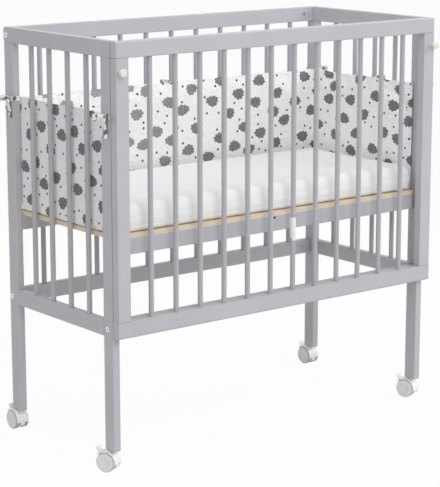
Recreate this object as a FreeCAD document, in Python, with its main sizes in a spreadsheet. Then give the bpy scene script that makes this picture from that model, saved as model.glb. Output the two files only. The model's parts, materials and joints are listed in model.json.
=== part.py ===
"""Bedside sleeper crib: a slatted timber crib on casters with a lift-off front barrier.

Millimetres, +Z up, +X along the crib, +Y from the barrier to the back. The origin lies on the
floor under the middle of the crib. Every size is a cell of the sheet "Sizes" below.
"""
import FreeCAD, Part
import collections
import math
import os
import re

Vector = FreeCAD.Vector
Rotation = FreeCAD.Rotation

# --------------------------------------------------------------------------------------------
# Driving dimensions: name, value in millimetres (or degrees, or a count), what it measures
# --------------------------------------------------------------------------------------------
SIZES = [
    ("crib_length", 940, "over the two end frames"),
    ("frame_depth", 424, "over the legs, front to back, without the barrier"),
    ("crib_height", 961, "floor to the top of the top rails"),
    ("timber", 18, "thickness of legs, rails and end frames"),
    ("leg_width", 35, "width of a leg, seen from the end"),
    ("rail_height", 36, "height of every frame rail"),
    ("ease", 1.5, "rounding of the timber edges"),
    ("rail_overhang", 2, "end top rail past the back leg"),
    ("overhang_round", 6, "rounded back end of the end top rail"),
    ("low_rail_level", 310, "floor to the underside of the low rails"),
    ("back_inset", 3, "back rails in from the back of the legs"),
    ("slat_diameter", 12, "round slats"),
    ("slat_seat", 12, "slat end in its blind hole"),
    ("end_slat_count", 4, "slats in an end frame"),
    ("back_slat_count", 11, "slats in the back"),
    ("barrier_slat_count", 12, "slats in the barrier"),
    ("fit_gap", 0.08, "radial clearance of a pressed or glued pin in its hole"),
    ("run_gap", 0.06, "radial clearance of a turning pin in its bore"),
    ("rest_gap", 0.3, "between pieces that only lie against each other"),
    ("barrier_seam", 2, "shadow gap between the barrier and the legs"),
    ("dowel_diameter", 8, "beech dowels"),
    ("dowel_length", 24, "beech dowels, half in each piece"),
    ("dowel_spacing", 20, "between the two dowels of a joint"),
    ("bolt_diameter", 6, "connector bolts"),
    ("bolt_length", 60, "under the head"),
    ("bolt_head_diameter", 12.5, "flat bolt head"),
    ("bolt_head_height", 2, "flat bolt head"),
    ("bolt_socket_width", 4, "hexagon socket across flats"),
    ("nut_diameter", 10, "barrel nut across"),
    ("nut_length", 14, "barrel nut along its own axis"),
    ("nut_setback", 30, "barrel nut from the rail's end"),
    ("barrier_thickness", 22, "barrier rails and stiles"),
    ("stile_width", 33, "upright ends of the barrier"),
    ("barrier_rail_height", 38, "bottom rail of the barrier"),
    ("barrier_rail_rise", 3, "barrier's bottom rail above the low rails"),
    ("barrier_edge_round", 6, "lower edges of the barrier's bottom rail"),
    ("barrier_top_ease", 2.5, "edges of the barrier's top rail"),
    ("barrier_pin_height", 60, "locating pins above the barrier's bottom rail"),
    ("barrier_pin_depth", 12, "locating pin in the leg"),
    ("pin_clearance", 0.4, "round the locating pin in the leg"),
    ("knob_drop", 29, "knob axis below the top rail"),
    ("knob_reach", 18, "knob in front of the barrier"),
    ("knob_head_diameter", 17.5, "turned wooden knob"),
    ("knob_head_length", 7, "turned wooden knob"),
    ("knob_neck_diameter", 9, "turned wooden knob"),
    ("knob_round", 2.5, "rounded rim of the knob"),
    ("stud_diameter", 6, "steel stud of the knob"),
    ("stud_grip", 12, "stud in the leg"),
    ("insert_diameter", 9, "brass insert in the leg"),
    ("bed_level", 525, "floor to the underside of the bed board"),
    ("board_thickness", 10, "birch ply bed board"),
    ("board_side_gap", 0.5, "board ends to the end frames"),
    ("bed_setback", 13, "bed rail and board behind the front of the legs"),
    ("slat_clearance", 1, "board, bed rail and bumper in front of the back slats"),
    ("screw_diameter", 3.5, "board screws"),
    ("screw_length", 24, "board screws"),
    ("screw_head_diameter", 7, "countersunk head"),
    ("screw_count", 3, "board screws along a bed rail"),
    ("screw_end_gap", 90, "first board screw from the board's end"),
    ("mattress_thickness", 60, "foam mattress at its edge"),
    ("mattress_crown", 5, "rise of the mattress's middle"),
    ("mattress_corner", 14, "plan radius of the mattress corners"),
    ("mattress_edge", 16, "rounded edge of the mattress"),
    ("mattress_waist", 2, "sides drawn in between the corners"),
    ("side_gap", 1, "mattress to the bumper"),
    ("bumper_height", 268, "padded bumper above the bed board"),
    ("bumper_thickness", 6, "padded bumper"),
    ("bumper_corner", 12, "inside radius of the bumper's corners"),
    ("ribbon_width", 11, "fabric ties"),
    ("ribbon_thickness", 1.1, "fabric ties"),
    ("bow_loop_length", 24, "a loop of a bow"),
    ("bow_loop_depth", 11, "a loop of a bow, across it"),
    ("bow_loop_lift", 36, "a loop of a bow from the leg's face, degrees"),
    ("bow_tail_length", 46, "a loose end of a bow"),
    ("bow_knot", 8, "knot of a bow"),
    ("tail_width", 9, "loose ends of a bow"),
    ("tail_spread", 9, "loose end from upright, degrees"),
    ("slat_bow_scale", 0.8, "bows on the slats against those on the legs"),
    ("end_tie_slat", 2, "slat of the right end that carries a tie, from the front"),
    ("tag_height", 55, "blank cloth tag on a barrier slat"),
    ("tag_thickness", 0.7, "blank cloth tag"),
    ("tag_level", 467, "floor to the tag's lower edge"),
    ("tag_slat", 7, "slat that carries the tag, from the left"),
    ("caster_height", 49, "floor to the underside of a leg"),
    ("wheel_diameter", 45, "caster wheels"),
    ("wheel_width", 12.5, "one of a caster's two wheels"),
    ("wheel_round", 2, "rounded tread edges"),
    ("hub_recess", 0.9, "dished outer face of a wheel"),
    ("rim_width", 2.2, "raised rim round the dished face"),
    ("web_thickness", 10, "caster body between the wheels"),
    ("wheel_side_gap", 0.5, "caster body to wheel"),
    ("trail", 12, "axle behind the swivel axis"),
    ("axle_diameter", 5, "steel axle"),
    ("axle_cover", 3, "wheel face over the axle's end"),
    ("hood_gap", 0.6, "hood over the treads"),
    ("hood_wall", 1.4, "hood shell"),
    ("hood_side", 2.5, "hood edge in from the wheel faces"),
    ("hood_rear_angle", 30, "hood's rear edge from upright, degrees"),
    ("hood_front_angle", 100, "hood's front edge from upright, degrees"),
    ("web_floor_gap", 9, "floor to the underside of the caster body"),
    ("stem_diameter", 6, "swivel stem"),
    ("stem_length", 44, "swivel stem"),
    ("socket_diameter", 10, "plastic socket in the leg's end"),
    ("socket_depth", 34, "socket in the leg"),
    ("flange_diameter", 15, "socket flange under the leg"),
    ("flange_thickness", 1.5, "socket flange under the leg"),
    ("lever_angle", 45, "lever pivot from upright, degrees"),
    ("lever_boss", 3.2, "lever boss radius"),
    ("lever_gap", 0.4, "lever boss to tread"),
    ("lever_boss_reach", 14, "lever boss end from the caster's middle"),
    ("lever_pin_diameter", 3, "moulded lever pin"),
    ("lever_width", 15, "brake lever"),
    ("lever_thickness", 3, "brake lever"),
    ("lever_length", 15.2, "brake lever from its pin"),
    ("lever_tilt", 36, "raised lever from upright, degrees"),
    ("front_left_turn", 27, "caster turned from straight back, degrees"),
    ("front_right_turn", 20, "caster turned from straight back, degrees"),
    ("back_left_turn", 0, "caster turned from straight back, degrees"),
    ("back_right_turn", 0, "caster turned from straight back, degrees"),
]

# Places and lengths that follow from the driving dimensions
DERIVED = [
    ("half_length", "crib_length / 2"),
    ("inner_half", "half_length - timber"),
    ("inner_length", "2 * inner_half"),
    ("leg_axis_x", "half_length - timber / 2"),
    ("lever_reach", "trail + (wheel_diameter / 2 + lever_boss + lever_gap) * sin(lever_angle * 1 deg)"
                    " + lever_length * sin(lever_tilt * 1 deg)"
                    " + lever_thickness / 2 * cos(lever_tilt * 1 deg)"),
    ("barrier_back", "-(knob_reach + barrier_thickness + barrier_seam + frame_depth - leg_width / 2"
                     " + lever_reach) / 2 + knob_reach + barrier_thickness"),
    ("barrier_front", "barrier_back - barrier_thickness"),
    ("frame_front", "barrier_back + barrier_seam"),
    ("frame_back", "frame_front + frame_depth"),
    ("front_leg_y", "frame_front + leg_width / 2"),
    ("back_leg_y", "frame_back - leg_width / 2"),
    ("top_rail_level", "crib_height - rail_height"),
    ("low_rail_top", "low_rail_level + rail_height"),
    ("low_rail_middle", "low_rail_level + rail_height / 2"),
    ("top_rail_middle", "top_rail_level + rail_height / 2"),
    ("slat_radius", "slat_diameter / 2"),
    ("slat_low_end", "low_rail_top - slat_seat"),
    ("slat_length", "top_rail_level - low_rail_top + 2 * slat_seat"),
    ("end_gap", "(frame_depth - 2 * leg_width - end_slat_count * slat_diameter)"
                " / (end_slat_count + 1)"),
    ("end_pitch", "end_gap + slat_diameter"),
    ("end_first", "frame_front + leg_width + end_gap + slat_radius"),
    ("back_gap", "(inner_length - back_slat_count * slat_diameter) / (back_slat_count + 1)"),
    ("back_pitch", "back_gap + slat_diameter"),
    ("back_first", "-inner_half + back_gap + slat_radius"),
    ("back_rail_y", "frame_back - back_inset - timber / 2"),
    ("cross_rail_y", "front_leg_y"),
    ("barrier_y", "barrier_front + barrier_thickness / 2"),
    ("barrier_rail_top", "low_rail_top + barrier_rail_rise"),
    ("barrier_rail_level", "barrier_rail_top - barrier_rail_height"),
    ("barrier_gap", "(crib_length - 2 * stile_width - barrier_slat_count * slat_diameter)"
                    " / (barrier_slat_count + 1)"),
    ("barrier_pitch", "barrier_gap + slat_diameter"),
    ("barrier_first", "-half_length + stile_width + barrier_gap + slat_radius"),
    ("stile_x", "half_length - stile_width / 2"),
    ("pin_level", "barrier_rail_top + barrier_pin_height"),
    ("knob_level", "top_rail_level - knob_drop"),
    ("bed_rail_level", "bed_level - rail_height"),
    ("bed_rail_middle", "bed_level - rail_height / 2"),
    ("bed_front", "frame_front + bed_setback"),
    ("bed_back", "back_rail_y - slat_radius - slat_clearance"),
    ("board_half", "inner_half - board_side_gap"),
    ("board_top", "bed_level + board_thickness"),
    ("soft_level", "board_top + rest_gap"),
    ("bumper_top", "board_top + bumper_height"),
    ("bumper_half", "board_half"),
    ("bumper_back", "bed_back"),
    ("mattress_half", "bumper_half - bumper_thickness - side_gap"),
    ("mattress_front", "bed_front + side_gap"),
    ("mattress_back", "bumper_back - bumper_thickness - side_gap"),
    ("tie_level", "bumper_top - ribbon_width / 2"),
    ("wheel_radius", "wheel_diameter / 2"),
    ("wheel_inner", "web_thickness / 2 + wheel_side_gap"),
    ("wheel_outer", "wheel_inner + wheel_width"),
    ("hood_inner", "wheel_radius + hood_gap"),
    ("hood_outer", "hood_inner + hood_wall"),
    ("lever_pivot", "wheel_radius + lever_boss + lever_gap"),
    ("pivot_y", "trail + lever_pivot * sin(lever_angle * 1 deg)"),
    ("pivot_z", "wheel_radius + lever_pivot * cos(lever_angle * 1 deg)"),
]

doc = FreeCAD.newDocument("BedsideCrib")
sheet = doc.addObject("Spreadsheet::Sheet", "Sizes")
sheet.set("A1", "name")
sheet.set("B1", "value")
sheet.set("C1", "measures")
for line, (alias, value, meaning) in enumerate(SIZES, start=2):
    sheet.set(f"A{line}", alias)
    sheet.set(f"B{line}", str(value))
    sheet.set(f"C{line}", meaning)
    sheet.setAlias(f"B{line}", alias)
doc.recompute()

ALIASES = {alias for alias, _, _ in SIZES} | {alias for alias, _ in DERIVED}
WORD = re.compile(r"[a-z_]+[a-z0-9_]*")


def bound(formula, owner="Sizes."):
    """The formula with each named size written as a cell of the sheet."""
    return WORD.sub(lambda word: owner + word.group() if word.group() in ALIASES else word.group(),
                    str(formula))


for line, (alias, formula) in enumerate(DERIVED, start=len(SIZES) + 2):
    sheet.set(f"A{line}", alias)
    sheet.set(f"B{line}", "=" + bound(formula, owner=""))
    sheet.setAlias(f"B{line}", alias)
doc.recompute()


def size(alias):
    """The value of a named size."""
    return float(sheet.get(alias))


# --------------------------------------------------------------------------------------------
# Small makers
# --------------------------------------------------------------------------------------------
TURNS = {
    "x": Rotation(Vector(0, 1, 0), 90),
    "y": Rotation(Vector(1, 0, 0), -90),
    "z": Rotation(),
}
finished = []


def bind(item, **formulas):
    """Ties properties of a document object to formulas of the named sizes."""
    for path, formula in formulas.items():
        item.setExpression(path.replace("__", "."), bound(formula))
    return item


def place(item, at, along="z"):
    """Puts an object at a corner or centre given by three formulas, its own Z along an axis."""
    item.Placement = FreeCAD.Placement(Vector(), TURNS[along])
    return bind(item, Placement__Base__x=at[0], Placement__Base__y=at[1], Placement__Base__z=at[2])


def block(name, low, spans):
    """A plain block from its lowest corner and its three spans."""
    item = bind(doc.addObject("Part::Box", name), Length=spans[0], Width=spans[1], Height=spans[2])
    return place(item, low)


def rod(name, at, along, radius, length):
    """A round rod from its first end."""
    item = bind(doc.addObject("Part::Cylinder", name), Radius=radius, Height=length)
    return place(item, at, along)


def round_edges(body, base, name, radius, wanted):
    """Rounds the edges of a body's feature that pass a test."""
    doc.recompute()
    fillet = body.newObject("PartDesign::Fillet", name)
    fillet.Base = (base, [f"Edge{number}" for number, edge in enumerate(base.Shape.Edges, start=1)
                          if wanted(edge)])
    return bind(fillet, Radius=radius)


def stock_body(name, low, spans):
    """A body that starts as a plain piece of timber."""
    body = doc.addObject("PartDesign::Body", name)
    stock = body.newObject("PartDesign::AdditiveBox", name + "_stock")
    bind(stock, Length=spans[0], Width=spans[1], Height=spans[2])
    return body, place(stock, low)


def timber_block(name, low, spans, rounding="ease"):
    """A planed timber piece with all its edges eased."""
    body, stock = stock_body(name, low, spans)
    round_edges(body, stock, name + "_eased", rounding, lambda edge: True)
    return body


def is_rim(edge):
    """Whether an edge is a circle."""
    return edge.Curve.TypeId == "Part::GeomCircle"


def group(name, items):
    """Several separate solids as one object."""
    compound = doc.addObject("Part::Compound", name)
    compound.Links = items
    return compound


def join(name, items):
    """Several overlapping solids made into one."""
    fusion = doc.addObject("Part::MultiFuse", name)
    fusion.Shapes = items
    return fusion


def drilled(name, stock, holes):
    """A piece with its holes cut."""
    cut = doc.addObject("Part::Cut", name)
    cut.Base = stock
    cut.Tool = holes[0] if len(holes) == 1 else join(name + "_holes", holes)
    return cut


def common(name, first, second):
    """What two shapes share."""
    shared = doc.addObject("Part::Common", name)
    shared.Base = first
    shared.Tool = second
    return shared


def finish(item, label):
    """Names a finished sub-part."""
    item.Label = label
    finished.append(item)
    return item


def row(count, first, pitch):
    """The formulas of evenly spaced places."""
    return [f"{first} + {number} * {pitch}" for number in range(int(size(count)))]


SIDES = (("left", -1), ("right", 1))
ENDS = (("front", "front_leg_y"), ("back", "back_leg_y"))
BED_RAILS = {
    "front_bed_rail": "(bed_front + timber / 2)",
    "back_bed_rail": "(bed_back - timber / 2)",
}


def corner(side, inner, outer):
    """The lower X of a span that lies between two distances from the middle of the crib."""
    return f"-({outer})" if side < 0 else f"{inner}"


# --------------------------------------------------------------------------------------------
# Dowels, connector bolts and barrel nuts: each place is used by the pieces that they join
# --------------------------------------------------------------------------------------------
Dowel = collections.namedtuple("Dowel", "side joint x y z along")


def dowel_places():
    """Centres and axes of the frame's dowels, each half in one piece and half in the other."""
    places = []
    for _, side in SIDES:
        axis_x = f"{side} * leg_axis_x"
        for end_name, leg_y in ENDS:
            inward = 1 if end_name == "front" else -1
            rail_joint = f"{leg_y} + {inward} * leg_width / 2"
            bed_rail_y = BED_RAILS[f"{end_name}_bed_rail"]
            for shift in (-1, 1):
                step = f"{shift} * dowel_spacing / 2"
                places += [
                    Dowel(side, f"{end_name}_leg_top", axis_x, f"{leg_y} + {step}",
                          "top_rail_level", "z"),
                    Dowel(side, f"{end_name}_leg_low", axis_x, rail_joint,
                          f"low_rail_middle + {step}", "y"),
                    Dowel(side, f"{end_name}_leg_bed", f"{side} * inner_half", bed_rail_y,
                          f"bed_rail_middle + {step}", "x"),
                ]
    return places


def dowel(name, spot, radius, length):
    """A rod centred on a dowel's place."""
    start = [spot.x, spot.y, spot.z]
    axis = "xyz".index(spot.along)
    start[axis] = f"{start[axis]} - ({length}) / 2"
    return rod(name, start, spot.along, radius, length)


def dowel_holes(name, spots, joint, sides=(-1, 1)):
    """Blind holes for the dowels of the joints whose names hold a word."""
    return [dowel(f"{name}_dowel_hole{number}", spot, "dowel_diameter / 2 + fit_gap",
                  "dowel_length + 2 * rest_gap")
            for number, spot in enumerate(spots) if joint in spot.joint and spot.side in sides]


DOWELS = dowel_places()
BOLTED_RAILS = {
    "back_top_rail": ("back_rail_y", "top_rail_middle"),
    "back_bottom_rail": ("back_rail_y", "low_rail_middle"),
    "front_cross_rail": ("cross_rail_y", "low_rail_middle"),
}


def bolt_hole(name, side, rail, extra="0"):
    """The hole of one connector bolt, through an end frame and into a rail."""
    rail_y, rail_z = BOLTED_RAILS[rail]
    return rod(name, (corner(side, "half_length - bolt_length - rest_gap", "half_length + rest_gap"),
                      rail_y, rail_z), "x", f"bolt_diameter / 2 + fit_gap + {extra}",
               "bolt_length + 2 * rest_gap")


# --------------------------------------------------------------------------------------------
# End frames
# --------------------------------------------------------------------------------------------
def end_slat_holes(name, side):
    """Blind holes over and under the end slats."""
    return [rod(f"{name}_slat_hole{number}", (f"{side} * leg_axis_x", place_y,
                                              "slat_low_end - rest_gap"),
                "z", "slat_radius + fit_gap", "slat_length + 2 * rest_gap")
            for number, place_y in enumerate(row("end_slat_count", "end_first", "end_pitch"))]


for side_name, side in SIDES:
    frame_x = corner(side, "inner_half", "half_length")

    top_name = f"{side_name}_top_rail"
    top_rail, stock = stock_body(top_name + "_blank", (frame_x, "frame_front", "top_rail_level"),
                                 ("timber", "frame_depth + rail_overhang", "rail_height"))
    rounded = round_edges(top_rail, stock, top_name + "_rounded", "overhang_round",
                          lambda edge: edge.BoundBox.YMin > size("frame_back")
                          and edge.BoundBox.ZLength < size("ease"))
    round_edges(top_rail, rounded, top_name + "_eased", "ease",
                lambda edge: edge.BoundBox.XLength < size("ease"))
    top_holes = dowel_holes(top_name, DOWELS, "_top", [side])
    top_holes += end_slat_holes(top_name, side)
    top_holes.append(bolt_hole(top_name + "_bolt_hole", side, "back_top_rail"))
    finish(drilled(top_name, top_rail, top_holes), top_name)

    low_name = f"{side_name}_bottom_rail"
    low_rail = timber_block(low_name + "_blank",
                            (frame_x, "frame_front + leg_width", "low_rail_level"),
                            ("timber", "frame_depth - 2 * leg_width", "rail_height"))
    low_holes = dowel_holes(low_name, DOWELS, "_low", [side])
    low_holes += end_slat_holes(low_name, side)
    finish(drilled(low_name, low_rail, low_holes), low_name)

    slats = [rod(f"{side_name}_end_slat{number}", (f"{side} * leg_axis_x", place_y, "slat_low_end"),
                 "z", "slat_radius", "slat_length")
             for number, place_y in enumerate(row("end_slat_count", "end_first", "end_pitch"))]
    finish(group(f"{side_name}_end_slats_group", slats), f"{side_name}_end_slats")

    for end_name, leg_y in ENDS:
        leg_name = f"{end_name}_{side_name}_leg"
        leg = timber_block(leg_name + "_blank", (frame_x, f"{leg_y} - leg_width / 2", "caster_height"),
                           ("timber", "leg_width", "top_rail_level - caster_height"))
        holes = dowel_holes(leg_name, DOWELS, f"{end_name}_leg", [side])
        holes.append(rod(leg_name + "_socket_hole", (f"{side} * leg_axis_x", leg_y, "0"), "z",
                         "socket_diameter / 2 + fit_gap", "caster_height + socket_depth + rest_gap"))
        low_bolted = "front_cross_rail" if end_name == "front" else "back_bottom_rail"
        holes.append(bolt_hole(leg_name + "_bolt_hole", side, low_bolted))
        if end_name == "front":
            holes.append(rod(leg_name + "_insert_hole",
                             (f"{side} * leg_axis_x", "frame_front - rest_gap", "knob_level"), "y",
                             "insert_diameter / 2 + fit_gap", "stud_grip + 3 * rest_gap"))
            holes.append(rod(leg_name + "_pin_hole",
                             (f"{side} * leg_axis_x", "frame_front - rest_gap", "pin_level"), "y",
                             "dowel_diameter / 2 + pin_clearance",
                             "barrier_pin_depth + 3 * rest_gap"))
        finish(drilled(leg_name, leg, holes), leg_name)

# --------------------------------------------------------------------------------------------
# Back rails, front cross rail and back slats
# --------------------------------------------------------------------------------------------
def back_slat_holes(name):
    """Blind holes over and under the back slats."""
    return [rod(f"{name}_slat_hole{number}", (place_x, "back_rail_y", "slat_low_end - rest_gap"),
                "z", "slat_radius + fit_gap", "slat_length + 2 * rest_gap")
            for number, place_x in enumerate(row("back_slat_count", "back_first", "back_pitch"))]


for rail_name, (rail_y, rail_z) in BOLTED_RAILS.items():
    blank = timber_block(rail_name + "_blank",
                         ("-inner_half", f"{rail_y} - timber / 2", f"{rail_z} - rail_height / 2"),
                         ("inner_length", "timber", "rail_height"))
    holes = [bolt_hole(f"{rail_name}_{side_name}_bolt_hole", side, rail_name)
             for side_name, side in SIDES]
    inner_face = "1" if rail_name == "front_cross_rail" else "-1"
    for side_name, side in SIDES:
        holes.append(rod(f"{rail_name}_{side_name}_nut_hole",
                         (f"{side} * (inner_half - nut_setback)",
                          f"{rail_y} - nut_length / 2 - rest_gap"
                          f" + {inner_face} * (timber - nut_length) / 2", rail_z), "y",
                         "nut_diameter / 2 + fit_gap", "nut_length + 2 * rest_gap"))
    if rail_name != "front_cross_rail":
        holes += back_slat_holes(rail_name)
    finish(drilled(rail_name, blank, holes), rail_name)

back_slats = [rod(f"back_slat{number}", (place_x, "back_rail_y", "slat_low_end"),
                  "z", "slat_radius", "slat_length")
              for number, place_x in enumerate(row("back_slat_count", "back_first", "back_pitch"))]
finish(group("back_slats_group", back_slats), "back_slats")

# --------------------------------------------------------------------------------------------
# Bed base: two bed rails, the ply board and its screws
# --------------------------------------------------------------------------------------------
def screw_spots():
    """Places of the board screws, over the middle of each bed rail."""
    steps = int(size("screw_count")) - 1
    return [(f"(2 * {number} / {steps} - 1) * (board_half - screw_end_gap)", rail_y)
            for rail_y in BED_RAILS.values() for number in range(steps + 1)]


def screw(name, spot, gap):
    """A countersunk screw, or its hole where the gap isn't nothing."""
    shank = rod(name + "_shank", (spot[0], spot[1], f"board_top - screw_length - {gap}"), "z",
                f"screw_diameter / 2 + {gap}", "screw_length")
    head = doc.addObject("Part::Cone", name + "_head")
    bind(head, Radius1=f"screw_diameter / 2 + {gap}", Radius2=f"screw_head_diameter / 2 + {gap}",
         Height="(screw_head_diameter - screw_diameter) / 2")
    place(head, (spot[0], spot[1], "board_top - (screw_head_diameter - screw_diameter) / 2"))
    return join(name, [shank, head])


SCREWS = screw_spots()
for rail_name, rail_y in BED_RAILS.items():
    blank = timber_block(rail_name + "_blank",
                         ("-inner_half", f"{rail_y} - timber / 2", "bed_rail_level"),
                         ("inner_length", "timber", "rail_height"))
    holes = dowel_holes(rail_name, DOWELS, rail_name.split("_")[0] + "_leg_bed")
    holes += [screw(f"{rail_name}_screw_hole{number}", spot, "fit_gap")
              for number, spot in enumerate(SCREWS) if spot[1] == rail_y]
    finish(drilled(rail_name, blank, holes), rail_name)

board = block("bed_board_blank", ("-board_half", "bed_front", "bed_level"),
              ("2 * board_half", "bed_back - bed_front", "board_thickness"))
finish(drilled("bed_board", board, [screw(f"board_screw_hole{number}", spot, "fit_gap")
                                    for number, spot in enumerate(SCREWS)]), "bed_board")
finish(group("board_screws_group", [screw(f"board_screw{number}", spot, "0")
                                    for number, spot in enumerate(SCREWS)]), "board_screws")

# --------------------------------------------------------------------------------------------
# Frame fasteners
# --------------------------------------------------------------------------------------------
finish(group("frame_dowels_group",
             [dowel(f"frame_dowel{number}", spot, "dowel_diameter / 2", "dowel_length")
              for number, spot in enumerate(DOWELS)]), "frame_dowels")


def connector_bolt(name, side, rail_y, rail_z):
    """A flat-headed bolt that lies along X, its head proud of the end frame."""
    shank = rod(name + "_shank", (corner(side, "half_length - bolt_length", "half_length"),
                                  rail_y, rail_z), "x", "bolt_diameter / 2", "bolt_length")
    head = rod(name + "_head", (corner(side, "half_length", "half_length + bolt_head_height"),
                                rail_y, rail_z), "x", "bolt_head_diameter / 2", "bolt_head_height")
    socket = doc.addObject("Part::Prism", name + "_socket")
    socket.Polygon = 6
    bind(socket, Circumradius="bolt_socket_width / sqrt(3)", Height="2 * bolt_head_height")
    place(socket, (corner(side, "half_length - bolt_head_height / 2",
                          "half_length + 1.5 * bolt_head_height"), rail_y, rail_z), "x")
    return drilled(name, join(name + "_solid", [shank, head]), [socket])


bolts = []
nuts = []
for rail_name, (rail_y, rail_z) in BOLTED_RAILS.items():
    inner_face = "1" if rail_name == "front_cross_rail" else "-1"
    for side_name, side in SIDES:
        bolts.append(connector_bolt(f"{rail_name}_{side_name}_bolt", side, rail_y, rail_z))
        barrel = rod(f"{rail_name}_{side_name}_barrel",
                     (f"{side} * (inner_half - nut_setback)",
                      f"{rail_y} - nut_length / 2 + {inner_face} * (timber - nut_length) / 2",
                      rail_z), "y", "nut_diameter / 2", "nut_length")
        nuts.append(drilled(f"{rail_name}_{side_name}_nut", barrel,
                            [bolt_hole(f"{rail_name}_{side_name}_nut_bore", side, rail_name)]))
finish(group("connector_bolts_group", bolts), "connector_bolts")
finish(group("barrel_nuts_group", nuts), "barrel_nuts")

inserts = []
for side_name, side in SIDES:
    sleeve = rod(f"{side_name}_insert_sleeve", (f"{side} * leg_axis_x", "frame_front", "knob_level"),
                 "y", "insert_diameter / 2", "stud_grip")
    bore = rod(f"{side_name}_insert_bore",
               (f"{side} * leg_axis_x", "frame_front - rest_gap", "knob_level"),
               "y", "stud_diameter / 2 + run_gap", "stud_grip + 2 * rest_gap")
    inserts.append(drilled(f"{side_name}_insert", sleeve, [bore]))
finish(group("knob_inserts_group", inserts), "knob_inserts")

# --------------------------------------------------------------------------------------------
# Front barrier
# --------------------------------------------------------------------------------------------
def barrier_slat_holes(name):
    """Blind holes over and under the barrier slats."""
    return [rod(f"{name}_slat_hole{number}",
                (place_x, "barrier_y", "barrier_rail_top - slat_seat - rest_gap"), "z",
                "slat_radius + fit_gap",
                "top_rail_level - barrier_rail_top + 2 * slat_seat + 2 * rest_gap")
            for number, place_x in enumerate(row("barrier_slat_count", "barrier_first",
                                                 "barrier_pitch"))]


BARRIER_DOWELS = [Dowel(side, f"barrier_{rail}", f"{side} * stile_x + {shift} * dowel_spacing / 2",
                        "barrier_y", level, "z")
                  for _, side in SIDES for shift in (-1, 1)
                  for rail, level in (("low", "barrier_rail_top"), ("top", "top_rail_level"))]


barrier_top = timber_block("barrier_top_blank", ("-half_length", "barrier_front", "top_rail_level"),
                           ("crib_length", "barrier_thickness", "rail_height"), "barrier_top_ease")
finish(drilled("barrier_top", barrier_top,
               barrier_slat_holes("barrier_top")
               + dowel_holes("barrier_top", BARRIER_DOWELS, "_top")), "barrier_top_rail")

low_body, low_stock = stock_body("barrier_low_blank",
                                 ("-half_length", "barrier_front", "barrier_rail_level"),
                                 ("crib_length", "barrier_thickness", "barrier_rail_height"))
round_edges(low_body, low_stock, "barrier_low_rounded", "barrier_edge_round",
            lambda edge: edge.BoundBox.XLength > size("stile_width")
            and edge.BoundBox.ZMax < size("barrier_rail_top") - size("barrier_edge_round"))
finish(drilled("barrier_low", low_body,
               barrier_slat_holes("barrier_low")
               + dowel_holes("barrier_low", BARRIER_DOWELS, "_low")), "barrier_bottom_rail")

barrier_pins = []
for side_name, side in SIDES:
    stile_name = f"barrier_{side_name}_stile"
    stile = timber_block(stile_name + "_blank",
                         (corner(side, "half_length - stile_width", "half_length"),
                          "barrier_front", "barrier_rail_top"),
                         ("stile_width", "barrier_thickness", "top_rail_level - barrier_rail_top"))
    holes = dowel_holes(stile_name, BARRIER_DOWELS, "barrier", [side])
    holes.append(rod(stile_name + "_stud_hole",
                     (f"{side} * leg_axis_x", "barrier_front - rest_gap", "knob_level"), "y",
                     "stud_diameter / 2 + pin_clearance", "barrier_thickness + 2 * rest_gap"))
    holes.append(rod(stile_name + "_pin_hole",
                     (f"{side} * leg_axis_x", "barrier_back - barrier_pin_depth - rest_gap",
                      "pin_level"), "y", "dowel_diameter / 2 + fit_gap",
                     "barrier_pin_depth + 2 * rest_gap"))
    finish(drilled(stile_name, stile, holes), stile_name)
    barrier_pins.append(rod(f"{stile_name}_pin",
                            (f"{side} * leg_axis_x", "barrier_back - barrier_pin_depth",
                             "pin_level"), "y", "dowel_diameter / 2",
                            "2 * barrier_pin_depth + barrier_seam"))
finish(group("barrier_pins_group", barrier_pins), "barrier_locating_pins")

finish(group("barrier_slats_group",
             [rod(f"barrier_slat{number}", (place_x, "barrier_y", "barrier_rail_top - slat_seat"),
                  "z", "slat_radius", "top_rail_level - barrier_rail_top + 2 * slat_seat")
              for number, place_x in enumerate(row("barrier_slat_count", "barrier_first",
                                                   "barrier_pitch"))]), "barrier_slats")
finish(group("barrier_dowels_group",
             [dowel(f"barrier_dowel{number}", spot, "dowel_diameter / 2", "dowel_length")
              for number, spot in enumerate(BARRIER_DOWELS)]), "barrier_dowels")

tag_at = ("barrier_first + (tag_slat - 1) * barrier_pitch", "barrier_y", "tag_level")
tag_outer = rod("tag_outer", tag_at, "z", "slat_radius + rest_gap + tag_thickness", "tag_height")
tag_inner = rod("tag_inner", tag_at, "z", "slat_radius + rest_gap", "tag_height")
finish(drilled("slat_tag", tag_outer, [tag_inner]), "slat_tag")

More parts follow.
